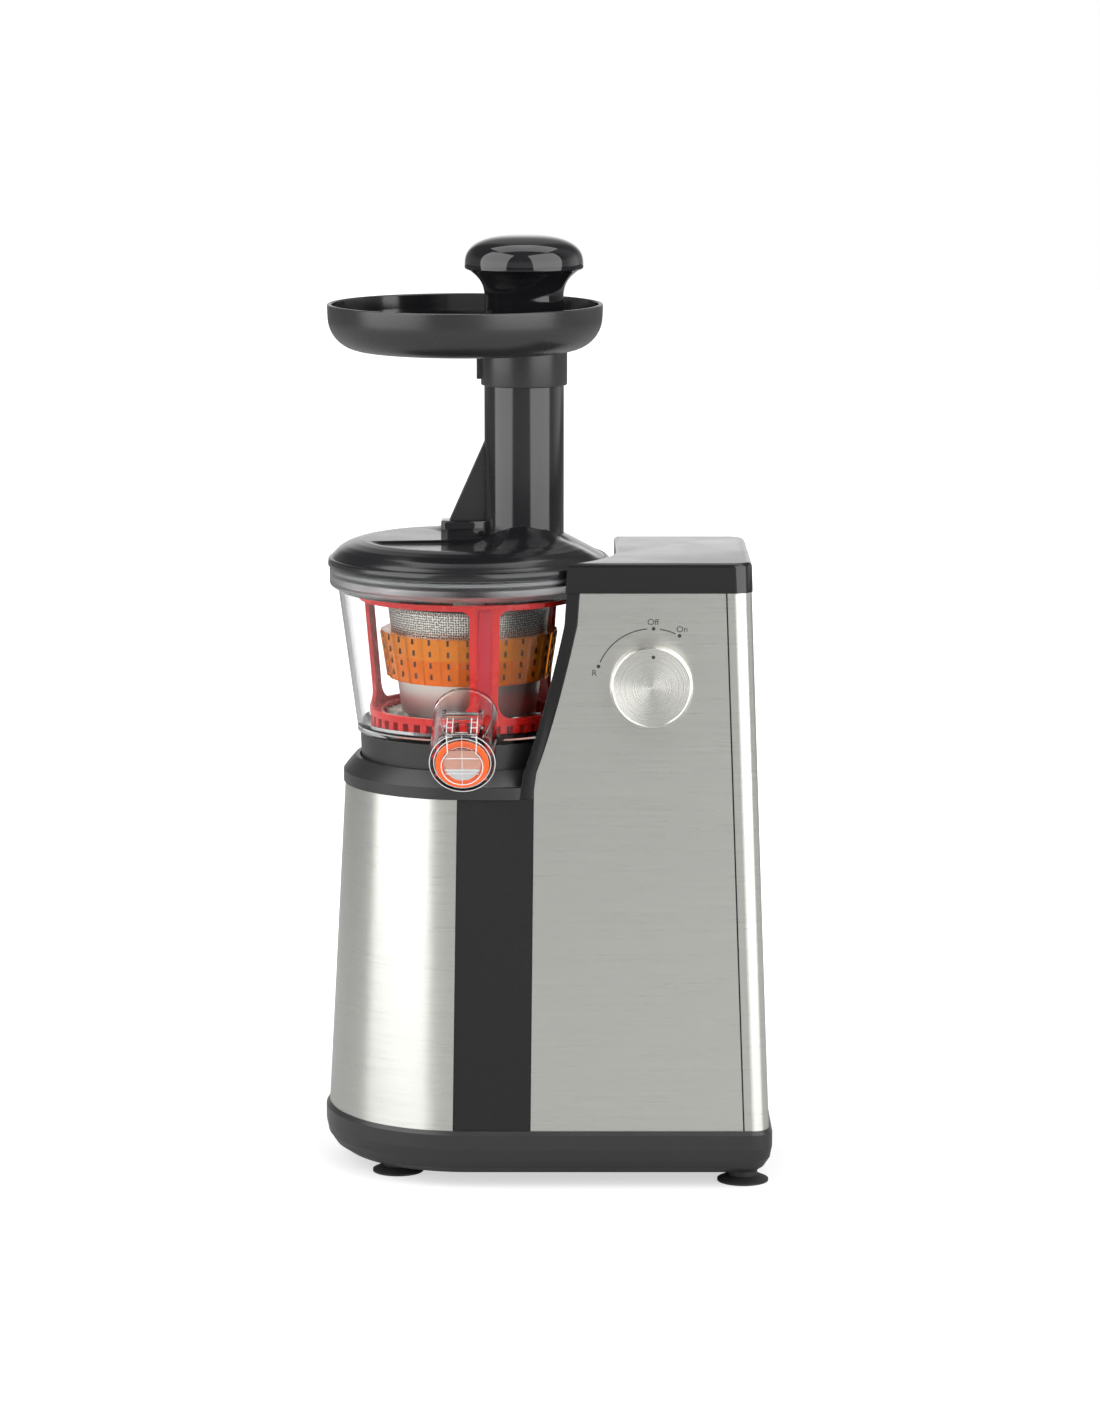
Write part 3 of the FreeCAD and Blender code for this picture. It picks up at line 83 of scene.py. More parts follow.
def skin(grid, close_rows=False, close_cols=True):
    """Points and four-sided faces of a grid of points (rows, columns, 3). Face (r, c) joins point (r, c),
    its neighbour in the next column and the two after them in the next row. A closed direction wraps."""
    rows, cols = grid.shape[:2]
    r, c = np.meshgrid(np.arange(rows if close_rows else rows - 1),
                       np.arange(cols if close_cols else cols - 1), indexing="ij")
    r2, c2 = (r + 1) % rows, (c + 1) % cols
    faces = np.stack([r * cols + c, r * cols + c2, r2 * cols + c2, r2 * cols + c], axis=-1)
    return grid.reshape(-1, 3), faces.reshape(-1, 4)


def make_piece(name, points, faces, materials, body, slot, stands_for=(), sharp=32.0, zone=None, bevel=0.0):
    """Mesh from points in millimetres, with doubles merged and normals outward. zone gives a material
    number for each face."""
    mesh = bpy.data.meshes.new(name)
    mesh.from_pydata((np.asarray(points, float) * MM).tolist(), [], [list(map(int, f)) for f in faces])
    for material in materials if isinstance(materials, (list, tuple)) else [materials]:
        mesh.materials.append(material)
    if zone is not None:
        mesh.polygons.foreach_set("material_index", np.asarray(zone, np.int32))
    tidy_mesh(mesh)
    return place_piece(name, mesh, body, stands_for, sharp, bevel)


def place_piece(name, mesh, body, stands_for, sharp, bevel, bevel_from=30.0):
    """Object of a mesh, riding its body. Edges above the angle sharp aren't smoothed. A bevel rounds those
    above bevel_from with a live modifier, by that many millimetres."""
    mesh.shade_smooth()
    mesh.set_sharp_from_angle(angle=math.radians(sharp))
    piece = bpy.data.objects.new(name, mesh)
    bpy.context.scene.collection.objects.link(piece)
    if bevel:
        rounding = piece.modifiers.new("rounding", "BEVEL")
        rounding.width = bevel * MM
        rounding.segments = 3
        rounding.limit_method = "ANGLE"
        rounding.angle_limit = math.radians(bevel_from)
        rounding.harden_normals = True
    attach(piece, body)
    if stands_for:
        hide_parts(*stands_for)
    print(name, len(mesh.vertices), "points", len(mesh.polygons), "faces")
    return piece


def tidy_mesh(mesh):
    """Merges points that coincide, as at a pole or a seam, and turns every face outward."""
    work = bmesh.new()
    work.from_mesh(mesh)
    bmesh.ops.remove_doubles(work, verts=work.verts, dist=2e-6)
    bmesh.ops.dissolve_degenerate(work, edges=work.edges, dist=1e-7)
    bmesh.ops.recalc_face_normals(work, faces=work.faces)
    work.to_mesh(mesh)
    work.free()


# %% [markdown]
# A shader is a net of small nodes. These helpers make one node at a time and feed its inputs, with a plain
# value or with another node, so that a material reads from its source to its shader.

# %% Making and feeding nodes


def feed(socket, value):
    """Stores a value in an input, or joins the input to a socket or to a node's first output."""
    if isinstance(value, bpy.types.Node):
        value = value.outputs[0]
    if isinstance(value, bpy.types.NodeSocket):
        socket.id_data.links.new(value, socket)
    elif socket.type == "RGBA" and len(value) == 3:
        socket.default_value = (*value, 1.0)
    else:
        socket.default_value = value


def set_inputs(node, **inputs):
    """Feeds inputs by name, with _ for each space, or by number, as in _2."""
    for label, value in inputs.items():
        number = label.lstrip("_")
        feed(node.inputs[int(number) if number.isdigit() else label.replace("_", " ")], value)
    return node


def add(tree, kind, settings=None, **inputs):
    """Node of a kind, with its settings made before its inputs are fed."""
    node = tree.nodes.new("ShaderNode" + kind)
    for key, value in (settings or {}).items():
        setattr(node, key, value)
    return set_inputs(node, **inputs)


def calc(tree, operation, *values):
    return add(tree, "Math", {"operation": operation}, **{f"_{k}": value for k, value in enumerate(values)})


def vector(tree, operation, *values):
    return add(tree, "VectorMath", {"operation": operation},
               **{f"_{k}": value for k, value in enumerate(values)})


def remap(tree, value, low, high, new_low, new_high, **settings):
    """Carries a value from the span low to high over to the span new_low to new_high."""
    return add(tree, "MapRange", settings, _0=value, _1=low, _2=high, _3=new_low, _4=new_high)


def object_point(tree):
    return add(tree, "TexCoord").outputs["Object"]


print("node helpers", feed.__name__, add.__name__, remap.__name__)

# %% [markdown]
# Most finishes share two effects. Moulded plastic has a very fine grain that breaks up its highlights, and
# anything that is handled has a faint uneven gloss. Each effect is a node group with its own sizes as
# inputs, so that one group serves every material. Groups give only values, and the shader stays outside.

# %% Shared effects


def node_group(name, inputs, outputs):
    """Group of numbers in, with their defaults, and numbers out; and its two end nodes."""
    tree = bpy.data.node_groups.new(name, "ShaderNodeTree")
    for label, value in inputs.items():
        socket = tree.interface.new_socket(label, in_out="INPUT", socket_type="NodeSocketFloat")
        socket.default_value = value
    for label in outputs:
        tree.interface.new_socket(label, in_out="OUTPUT", socket_type="NodeSocketFloat")
    return tree, tree.nodes.new("NodeGroupInput").outputs, tree.nodes.new("NodeGroupOutput")


def grain_group():
    """Grain: fine noise for a Height of 0 to 1, and slow noise for a Gloss that wanders between its two
    inputs."""
    tree, start, end = node_group("moulded_grain", {"Scale": 2500.0, "Gloss Low": 0.3, "Gloss High": 0.4},
                                  ["Height", "Gloss"])
    place = object_point(tree)
    fine = add(tree, "TexNoise", Vector=place, Scale=start["Scale"], Detail=3.0, Roughness=0.6)
    slow = add(tree, "TexNoise", Vector=place, Scale=38.0, Detail=4.0, Roughness=0.55)
    gloss = remap(tree, slow, *NOISE_SPAN, start["Gloss Low"], start["Gloss High"])
    set_inputs(end, Height=fine, Gloss=gloss)
    return tree


def brushing_group():
    """Brushing: noise squeezed hard in height and drawn out sideways, so that it reads as long level
    scratches. Two widths are mixed. Height and Tone run 0 to 1."""
    tree, start, end = node_group("level_brushing", {"Squeeze": 3200.0, "Length": 45.0}, ["Height", "Tone"])
    sizes = add(tree, "CombineXYZ", X=start["Length"], Y=start["Length"], Z=start["Squeeze"])
    stretch = vector(tree, "MULTIPLY", object_point(tree), sizes)
    fine = add(tree, "TexNoise", Vector=stretch, Scale=1.0, Detail=3.0, Roughness=0.65)
    broad = add(tree, "TexNoise", Vector=stretch, Scale=0.28, Detail=2.0)
    tone = calc(tree, "MULTIPLY_ADD", broad, BROAD_SHARE, calc(tree, "MULTIPLY", fine, 1 - BROAD_SHARE))
    set_inputs(end, Height=fine, Tone=tone)
    return tree


NOISE_SPAN = (0.3, 0.7)
BROAD_SHARE = 0.45
GRAIN = grain_group()
BRUSHING = brushing_group()
print("groups", GRAIN.name, BRUSHING.name)

# %% [markdown]
# The plastics differ only in colour, gloss and grain, so one function makes them all: a Principled shader
# whose roughness wanders a little, and a bump from the grain. A bump this fine doesn't show as texture from
# a metre away. It softens the edges of reflections, as real moulded surfaces do.

# %% Plastics and rubbers
GRAIN_DEPTH = 0.0002


def start_material(name):
    material = bpy.data.materials.new(name)
    material.use_nodes = True
    tree = material.node_tree
    return material, tree, tree.nodes["Principled BSDF"]


def add_bump(tree, shader, height, strength, distance):
    set_inputs(shader, Normal=add(tree, "Bump", Strength=strength, Distance=distance, Height=height))


def moulded(name, colour, gloss, grain=1500.0, relief=0.05, **values):
    """Plastic or rubber. colour may be one number for a grey; gloss is the span of its roughness."""
    material, tree, shader = start_material(name)
    colour = colour if isinstance(colour, tuple) else (colour,) * 3
    effect = add(tree, "Group", {"node_tree": GRAIN}, Scale=grain, Gloss_Low=gloss[0], Gloss_High=gloss[1])
    set_inputs(shader, Base_Color=colour, Roughness=effect.outputs["Gloss"], **values)
    add_bump(tree, shader, effect.outputs["Height"], relief, GRAIN_DEPTH)
    return material


satin_black = moulded("satin_black", (0.012, 0.012, 0.013), (0.25, 0.32), 2600.0, 0.05, IOR=1.58)
lid_black = moulded("lid_black", (0.007, 0.007, 0.008), (0.17, 0.23), 2600.0, 0.05, IOR=1.54)
cap_black = moulded("cap_black", 0.005, (0.13, 0.19), 1700.0, 0.03, IOR=1.5)
tube_black = moulded("tube_black", (0.008, 0.008, 0.009), (0.10, 0.15), 1800.0, 0.02, IOR=1.52)
gloss_black = moulded("gloss_black", (0.006, 0.006, 0.007), (0.03, 0.06), 900.0, 0.01, IOR=1.55)
body_black = moulded("body_black", 0.017, (0.30, 0.40), 1900.0, 0.08, IOR=1.5)
grained_black = moulded("grained_black", 0.009, (0.50, 0.60), 1300.0, 0.55, IOR=1.34)
cage_red = moulded("cage_red", (0.58, 0.012, 0.010), (0.22, 0.32), 1500.0, 0.03,
                   Subsurface_Weight=0.15, Subsurface_Scale=0.004)
wiper_red = moulded("wiper_red", (0.46, 0.005, 0.018), (0.35, 0.45))
spout_silicone = moulded("spout_silicone", (0.95, 0.14, 0.025), (0.35, 0.45))
# Whitish half-clear finish: painted highlight for the white edge lines of the clear flap and spout.
painted_edge_highlight = moulded("painted_edge_highlight", 0.92, (0.30, 0.40), Transmission_Weight=0.35, IOR=1.45)
seal_film = moulded("seal_film", (0.93, 0.52, 0.40), (0.30, 0.40), Transmission_Weight=0.30, IOR=1.45)
# Dark brown of the amber frame's slots: painted shade standing in for the open slots.
painted_slot_shade = moulded("painted_slot_shade", (0.030, 0.012, 0.005), (0.40, 0.50))
grey_silicone = moulded("grey_silicone", 0.45, (0.45, 0.55), 1500.0, 0.06)
screw_dark = moulded("screw_dark", (0.045, 0.045, 0.050), (0.32, 0.42), 1800.0, 0.06)
gear_ivory = moulded("gear_ivory", (0.70, 0.68, 0.60), (0.40, 0.50))
switch_grey = moulded("switch_grey", (0.12, 0.12, 0.13), (0.40, 0.50))
board_green = moulded("board_green", (0.02, 0.14, 0.06), (0.25, 0.35), 700.0, 0.10)
foot_rubber = moulded("foot_rubber", 0.018, (0.55, 0.70), 1100.0, 0.20)
dial_ink = moulded("dial_ink", 0.018, (0.45, 0.55), 1500.0, 0.02)

# %% [markdown]
# The sheets are stainless steel with level brushing. The scratches scatter light up and down much more than
# sideways, so the metal gets anisotropic gloss, with an upright tangent. The brushing also varies the
# metal's tint and roughness by a few percent, because single lines can be told apart close to.

# %% Metals
SCRATCH_DEPTH = 0.00005


def metal(name, colour, rough, relief, spread=0.05, anisotropy=0.0, squeeze=3200.0, length=45.0):
    """Brushed metal: tint and roughness follow the lines by plus or minus spread."""
    material, tree, shader = start_material(name)
    if anisotropy:
        set_inputs(shader, Tangent=add(tree, "CombineXYZ", Z=1.0))
    lines = add(tree, "Group", {"node_tree": BRUSHING}, Squeeze=squeeze, Length=length)
    tone = lines.outputs["Tone"]
    darker, lighter = [tuple(c * (1 + side * spread) for c in colour) for side in (-1, 1)]
    tint = add(tree, "MapRange", {"data_type": "FLOAT_VECTOR"}, Vector=tone, _7=(NOISE_SPAN[0],) * 3,
               _8=(NOISE_SPAN[1],) * 3, _9=darker, _10=lighter)
    set_inputs(shader, Metallic=1.0, Anisotropic=anisotropy, Base_Color=tint.outputs["Vector"],
               Roughness=remap(tree, tone, *NOISE_SPAN, rough - spread, rough + spread))
    add_bump(tree, shader, lines.outputs["Height"], relief, SCRATCH_DEPTH)
    return material


brushed_sheet = metal("brushed_sheet", (0.62, 0.62, 0.585), 0.30, 0.25, 0.045, 0.75)
turned_steel = metal("turned_steel", (0.55, 0.55, 0.55), 0.28, 0.10)
motor_iron = metal("motor_iron", (0.20, 0.20, 0.21), 0.50, 0.20, 0.08, 0.0, 1800.0, 200.0)
copper_winding = metal("copper_winding", (0.60, 0.24, 0.09), 0.35, 0.60, 0.10, 0.0, 900.0, 60.0)

# %% [markdown]
# The bowl, spout and flap are clear polished plastic. Real refraction through a closed wall gives the dark
# and bright lines at its edges. Light Path lets the lamps' shadow rays through, so that what is inside the
# bowl isn't left in the dark. The bowl's rim band is frosted, so its roughness changes with height.

# %% Clear plastics
ACRYLIC_IOR = 1.49
POLISHED = 0.01
WATER_CLEAR = (0.985, 0.99, 0.99)
FROST_GREY = (0.66, 0.67, 0.68)


def clear(name, colour, ior=ACRYLIC_IOR, rough=POLISHED, shadow=0.15, through=1.0):
    """Clear plastic. shadow is the share of lamp light that it stops; through is its transmission."""
    material, tree, shader = start_material(name)
    lamp_ray = add(tree, "LightPath").outputs["Is Shadow Ray"]
    set_inputs(shader, Base_Color=colour, Transmission_Weight=through, IOR=ior, Roughness=rough,
               Specular_Tint=(0.4, 0.4, 0.4), Alpha=remap(tree, lamp_ray, 0.0, 1.0, 1.0, shadow))
    return material


def frosted_band(name, colour, low, high, rough):
    """Clear plastic that is frosted and greyed from height low to height high, in metres."""
    material = clear(name, colour)
    tree = material.node_tree
    height = add(tree, "SeparateXYZ", _0=object_point(tree)).outputs["Z"]
    band = calc(tree, "MULTIPLY", calc(tree, "GREATER_THAN", height, low),
                calc(tree, "LESS_THAN", height, high))
    tint = add(tree, "Mix", {"data_type": "RGBA"}, _0=band, _6=colour, _7=FROST_GREY)
    set_inputs(tree.nodes["Principled BSDF"], Base_Color=tint.outputs[2],
               Roughness=remap(tree, band, 0.0, 1.0, POLISHED, rough))
    return material


clear_bowl = frosted_band("clear_bowl", WATER_CLEAR, 0.3018, 0.3120, 0.30)
clear_part = clear("clear_part", WATER_CLEAR)
amber_clear = clear("amber_clear", (1.0, 0.30, 0.025), 1.45, 0.08, 0.5, 0.75)
print("materials", len(bpy.data.materials))

# %% [markdown]
# The knob's face is spun: its scratches run round it, so its highlight spreads along the radius and shows
# as the bright fan that a spun lid has. The tangent at a point is its own direction from the knob's axis.
# The strainer's sheet is pierced all over. A cell pattern in angle and height puts one dark hole in each
# cell, a little off the middle so that the rows don't look drawn. The holes aren't cut: their dark is
# painted shade for what is seen through them.

# %% Spun and pierced metal
KNOB_LEAN = math.atan(0.0619)
KNOB_OUT = np.array([0.0, -math.cos(KNOB_LEAN), math.sin(KNOB_LEAN)])
knob_low, knob_high = reach("knob")
KNOB_AT = (knob_low + knob_high) / 2 - KNOB_OUT * 6.6
HOLE_SOFTNESS = 0.08
# Colour of the holes: painted shade for the dark seen through the pierced sheet.
HOLE_SHADE = (0.07, 0.065, 0.055)
SIEVE_MID_RADIUS = 40.0


def spun_metal(name, colour, rough, ring):
    """Metal whose tangent is radial about the knob's axis, with rings a ring apart in metres."""
    material, tree, shader = start_material(name)
    arm = vector(tree, "SUBTRACT", object_point(tree), tuple(KNOB_AT * MM))
    along = vector(tree, "DOT_PRODUCT", arm, tuple(KNOB_OUT)).outputs["Value"]
    drop = add(tree, "VectorMath", {"operation": "SCALE"}, _0=tuple(KNOB_OUT), Scale=along)
    flat = vector(tree, "SUBTRACT", arm, drop)
    tangent = add(tree, "VectorTransform",
                  {"vector_type": "VECTOR", "convert_from": "OBJECT", "convert_to": "WORLD"}, Vector=flat)
    from_axis = vector(tree, "LENGTH", flat).outputs["Value"]
    rings = add(tree, "TexNoise", {"noise_dimensions": "1D"}, W=from_axis, Scale=1.0 / ring, Detail=2.0)
    set_inputs(shader, Base_Color=colour, Metallic=1.0, Anisotropic=0.85, Tangent=tangent,
               Roughness=remap(tree, rings, *NOISE_SPAN, rough - 0.05, rough + 0.05))
    add_bump(tree, shader, rings, 0.25, 0.00003)
    return material


def pierced_metal(name, colour, rough, pitch, hole, above):
    """Metal painted dark in round holes, pitch apart, about the bowl's axis, above a height in metres; the
    dark is painted shade for the see-through holes. hole is a share of the pitch."""
    material, tree, shader = start_material(name)
    x, y, z = add(tree, "SeparateXYZ", _0=object_point(tree)).outputs
    angle = calc(tree, "ARCTAN2", y, calc(tree, "SUBTRACT", x, BOWL_X * MM))
    cell = add(tree, "CombineXYZ", X=calc(tree, "MULTIPLY", angle, SIEVE_MID_RADIUS * MM / pitch),
               Y=calc(tree, "MULTIPLY", z, 1.0 / pitch))
    holes = add(tree, "TexVoronoi", {"voronoi_dimensions": "2D"}, Vector=cell, Scale=1.0, Randomness=0.35)
    sheet = remap(tree, holes, hole - HOLE_SOFTNESS, hole + HOLE_SOFTNESS, 0.0, 1.0)
    solid = calc(tree, "MAXIMUM", sheet, calc(tree, "LESS_THAN", z, above))
    tint = add(tree, "Mix", {"data_type": "RGBA"}, _0=solid, _6=HOLE_SHADE, _7=colour)
    set_inputs(shader, Metallic=1.0, Roughness=rough, Base_Color=tint.outputs[2])
    add_bump(tree, shader, solid, 0.4, 0.0001)
    return material


spun_knob = spun_metal("spun_knob", (0.74, 0.735, 0.69), 0.27, 0.0006)
pierced_sheet = pierced_metal("pierced_sheet", (0.80, 0.78, 0.72), 0.36, 0.00125, 0.36, 0.2786)

# %% [markdown]
# Parts whose form is already right stay as CAD nodes and only get a finish. Most are flat sheets, hidden
# machinery and small fittings. One table gives each finish its nodes. The nodes that later cells replace
# aren't in it.

# %% Finishes of the CAD nodes
finishes = [
    (body_black, ("base_tray", "housing", "cord_gland", "back_cover", "board_bosses", "cooling_fan")),
    (satin_black, ("board_parts",)),
    (grained_black, ("near_strip", "far_strip")),
    (brushed_sheet, ("front_wrap", "near_panel", "far_panel", "near_corner_strip", "far_corner_strip")),
    (turned_steel, ("knob_spindle", "motor_bracket", "motor_shaft", "output_shaft",
                    "shaft_bearings", "base_screws")),
    (motor_iron, ("motor_stator", "motor_rotor")),
    (copper_winding, ("stator_coils",)),
    (gear_ivory, ("gearbox_housing", "carrier_1", "idler_gear", "lid_bush", "planet_1a", "planet_1b",
                  "planet_1c", "planet_2a", "planet_2b", "planet_2c")),
    (clear_bowl, ("bowl",)),
    (clear_part, ("juice_spout", "flap_ears", "pulp_chute", "flap_pin")),
    (spout_silicone, ("pulp_plug",)),
    (grey_silicone, ("lid_seal", "shaft_seal")),
    (screw_dark, ("screw",)),
    (switch_grey, ("rotary_switch",)),
    (board_green, ("control_board",)),
    (foot_rubber, ("feet",)),
]
for finish, names in finishes:
    for name in names:
        cad[name].data.materials.clear()
        cad[name].data.materials.append(finish)
print("finished nodes", sum(len(names) for finish, names in finishes))

# %% [markdown]
# Real mouldings have no sharp edge: each catches a thin line of light. The CAD nodes of the black covers
# are copied, their triangles merged back into large faces, and a live bevel rounds every edge of the copy.

# %% Covers with rounded edges


def softened(node, body, material, width):
    """Copy of a CAD node with merged faces and rounded edges, that stands for the node."""
    mesh = cad[node].data.copy()
    mesh.transform(cad[node].matrix_world)
    work = bmesh.new()
    work.from_mesh(mesh)
    bmesh.ops.remove_doubles(work, verts=work.verts, dist=1e-6)
    bmesh.ops.dissolve_limit(work, angle_limit=math.radians(0.8), verts=work.verts, edges=work.edges)
    bmesh.ops.recalc_face_normals(work, faces=work.faces)
    work.to_mesh(mesh)
    work.free()
    if "custom_normal" in mesh.attributes:
        mesh.attributes.remove(mesh.attributes["custom_normal"])
    mesh.materials.clear()
    mesh.materials.append(material)
    return place_piece(node + "_soft", mesh, body, (node,), 30.0, width, 35.0)


for node, body, material, width in (("tower_cap", "base", cap_black, 1.0),
                                    ("tower_front", "base", cap_black, 2.2),
                                    ("shoulder_deck", "base", body_black, 0.8),
                                    ("bowl_ring", "bowl", body_black, 0.5)):
    softened(node, body, material, width)

# %% [markdown]
# A turned piece starts as an outline of radius and height. Moulded edges are never sharp, so the outline is
# given by its few corners, and each corner by the radius that rounds it.

# %% Rounded outlines and turning


def rounded(corners, radii, steps=5):
    """Closed outline with rounded corners. At a corner that turns by angle t the sides are cut back by
    r * tan(t / 2), and an arc of radius r joins them. A radius of 0 keeps the corner sharp."""
    pts = np.asarray(corners, float)
    out = []
    for k, r in enumerate(radii):
        p, a, b = pts[k], pts[k - 1], pts[(k + 1) % len(pts)]
        u, v = (a - p) / np.linalg.norm(a - p), (b - p) / np.linalg.norm(b - p)
        if r <= 0:
            out.append(p[None])
            continue
        half = math.acos(np.clip(np.dot(u, v), -1, 1)) / 2
        centre = p + (u + v) / np.linalg.norm(u + v) * r / math.sin(half)
        start, end = p + u * r / math.tan(half) - centre, p + v * r / math.tan(half) - centre
        a0 = math.atan2(start[1], start[0])
        sweep = (math.atan2(end[1], end[0]) - a0 + math.pi) % (2 * math.pi) - math.pi
        angle = a0 + sweep * np.linspace(0, 1, steps + 1)
        out.append(centre + r * np.stack([np.cos(angle), np.sin(angle)], 1))
    return np.concatenate(out)


def turn(outline, axis_x=0.0, count=160):
    """Grid of a shape turned about an upright axis, with a row for each point (radius, height) of its
    outline. The axis may be one number, or one for each row where the rings aren't all on one axis."""
    outline = np.asarray(outline, float)
    angle = np.linspace(0, 2 * np.pi, count, endpoint=False)
    centre = np.broadcast_to(np.asarray(axis_x, float), (len(outline),))[:, None]
    x = centre + outline[:, :1] * np.cos(angle)
    y = outline[:, :1] * np.sin(angle)
    return np.stack([x, y, np.broadcast_to(outline[:, 1:2], x.shape)], -1)


def turned(outline, axis_x=0.0, count=160):
    """Points and faces turned from a closed outline."""
    return skin(turn(outline, axis_x, count), True, True)


print("a rounded square has", len(rounded([(0, 0), (1, 0), (1, 1), (0, 1)], [0.2] * 4)), "points")

# %% [markdown]
# The tray is a shallow dish with a rounded foot and a thin lip. Its floor has the hole of the feed tube,
# off centre, and a short collar under it. All of it is one closed skin of rings: the rings of the dish
# share the tray's axis, and the rings of the hole and the collar share the tube's, so the floor between is
# a ruled surface from circle to circle. Its inside is glossier than its outside.

# %% Loading tray
TRAY_WALL = 2.2
TRAY_DEPTH = 23.4
FOOT_ROUND = 17.0
TUBE_RADIUS = 20.3
BORE_RADIUS = 18.3
COLLAR_RADIUS = 22.0
SEAT_RADIUS = TUBE_RADIUS + 0.3
INSIDE_ROWS = 17
tray_top = tray_high[2] + 1.3
tray_floor = tray_top - TRAY_DEPTH
tray_radius = (tray_high[0] - tray_low[0]) / 2
collar_foot = tray_low[2]


def tray_dish():
    """Outline from the floor's upper side over the lip and down to its underside."""
    flat, side = tray_radius - FOOT_ROUND - 7.0, tray_radius - 1.0
    return rounded([(flat, tray_floor + TRAY_WALL), (side - TRAY_WALL, tray_floor + TRAY_WALL),
                    (tray_radius - TRAY_WALL, tray_top), (tray_radius + 0.1, tray_top),
                    (side, tray_floor), (flat, tray_floor)],
                   [0, FOOT_ROUND - TRAY_WALL, 0.7, 0.7, FOOT_ROUND, 0], 14)


def tray_hole():
    """Outline from the floor's underside down the collar and up through the hole."""
    return rounded([(COLLAR_RADIUS + 0.6, tray_floor), (COLLAR_RADIUS, tray_floor - 0.6),
                    (COLLAR_RADIUS, collar_foot), (SEAT_RADIUS, collar_foot),
                    (SEAT_RADIUS, tray_floor), (BORE_RADIUS, tray_floor),
                    (BORE_RADIUS, tray_floor + TRAY_WALL), (BORE_RADIUS + 1.0, tray_floor + TRAY_WALL)],
                   [0, 0, 0.6, 0.3, 0, 0, 0.4, 0], 4)


tray_outline = np.concatenate([tray_dish(), tray_hole()])
row = np.arange(len(tray_outline))
tray_skin = turned(tray_outline, np.where(row < len(tray_dish()), TRAY_X, FEED_X), 192)
make_piece("tray_dish", *tray_skin, [satin_black, tube_black], "tray", "black_satin", ("loading_tray",),
           zone=np.repeat(row < INSIDE_ROWS, 192))

# %% [markdown]
# A tab on the tray's collar keeps it from turning. It is a small upright bar with rounded edges, so a
# prism with a live bevel is all it needs.

# %% Tray tab


def prism(outline, low, high):
    """Points and faces of an upright prism on an outline (x, y)."""
    outline = np.asarray(outline, float)
    n = len(outline)
    flat = [np.column_stack([outline, np.full(n, z)]) for z in (low, high)]
    k = np.arange(n)
    sides = np.stack([k, (k + 1) % n, (k + 1) % n + n, k + n], 1).tolist()
    return np.concatenate(flat), sides + [list(range(n))[::-1], list(range(n, 2 * n))]


tab_x = FEED_X - COLLAR_RADIUS
tab_outline = [(tab_x - 2.2, -3.0), (tab_x + 0.8, -3.0), (tab_x + 0.8, 3.0), (tab_x - 2.2, 3.0)]
make_piece("tray_tab", *prism(tab_outline, collar_foot + 3.0, tray_floor + 0.5), satin_black, "tray",
           "black_satin", bevel=0.5)

# %% [markdown]
# The pusher is a polished plunger: a domed cap to press on, a waisted neck, and a hollow shaft that slides
# in the tube. It is turned from one outline. The dome is flatter on top than a ball and rounder at its
# side, and it rolls over into the cap's side without a crease, so highlights slide round it.

# %% Pusher
CAP_RADIUS = (pusher_high[0] - pusher_low[0]) / 2
CROWN_HEIGHT = 15.2
CROWN_POWER = 2.6
CAP_THICKNESS = 17.4
NECK_RADIUS = 20.1
NECK_HEIGHT = 15.0
SHAFT_WALL = 2.4
pusher_rest = tray_floor + TRAY_WALL + 0.3
crown_top = pusher_high[2]
cap_under = crown_top - CAP_THICKNESS


def pusher_outline():
    """Outline (radius, height) from the shaft's mouth, up the outside to the crown's pole and back inside.
    The crown follows (r / R)^p + (h / H)^p = 1."""
    shaft = BORE_RADIUS - 0.5
    angle = np.linspace(0, np.pi / 2, 40)
    crown = np.stack([CAP_RADIUS * np.cos(angle) ** (2 / CROWN_POWER),
                      crown_top - CROWN_HEIGHT + CROWN_HEIGHT * np.sin(angle) ** (2 / CROWN_POWER)], 1)
    waist = np.linspace(0, 1, 16)
    neck = np.stack([NECK_RADIUS + 8.3 * waist ** 2.8, cap_under - NECK_HEIGHT * (1 - waist)], 1)
    lip = [[CAP_RADIUS - 0.8, cap_under + 0.2], [CAP_RADIUS - 0.1, cap_under + 0.8]]
    shaft_side = rounded([(shaft - SHAFT_WALL, pusher_low[2]), (shaft, pusher_low[2]), (shaft, pusher_rest),
                          (NECK_RADIUS, pusher_rest), (NECK_RADIUS, cap_under - NECK_HEIGHT - 0.5)],
                         [0.4, 1.0, 0, 0.3, 0], 4)
    inside = [[0.0, crown_top], [0.0, pusher_rest + 4.0], [shaft - SHAFT_WALL, pusher_rest + 4.0]]
    return np.concatenate([shaft_side, neck, lip, crown[:-1], inside])


make_piece("pusher_plunger", *turned(pusher_outline(), FEED_X), gloss_black, "pusher", "black_gloss",
           ("pusher",), sharp=40.0)

# %% [markdown]
# The lid's top isn't a turned shape. Its left and rear are a flat deck with a round shoulder, its right
# rear is a cone that climbs to the feed tube, and in front a scoop is pressed in for the fingers. All this
# is one height for each place in plan, so numpy works out z on a polar grid. Where two forms meet, a smooth
# step in azimuth or in distance blends them.

# %% Heights of the lid
DECK_Z = 325.0
SCOOP_RADIUS = 52.6
SCOOP_RIGHT = 6.0
LID_OUTLINE = ((0.0, DECK_Z), (52.0, DECK_Z), (54.5, 324.9), (58.5, 324.1), (63.0, 322.5), (66.5, 320.4),
               (69.0, 317.9), (70.0, 316.5), (70.4, 316.0), (71.4, 315.7), (72.0, 315.0), (72.1, 311.9))


def bump_step(t):
    """Smooth step from 0 to 1: 3 t^2 - 2 t^3, held at its ends."""
    t = np.clip(t, 0, 1)
    return t * t * (3 - 2 * t)


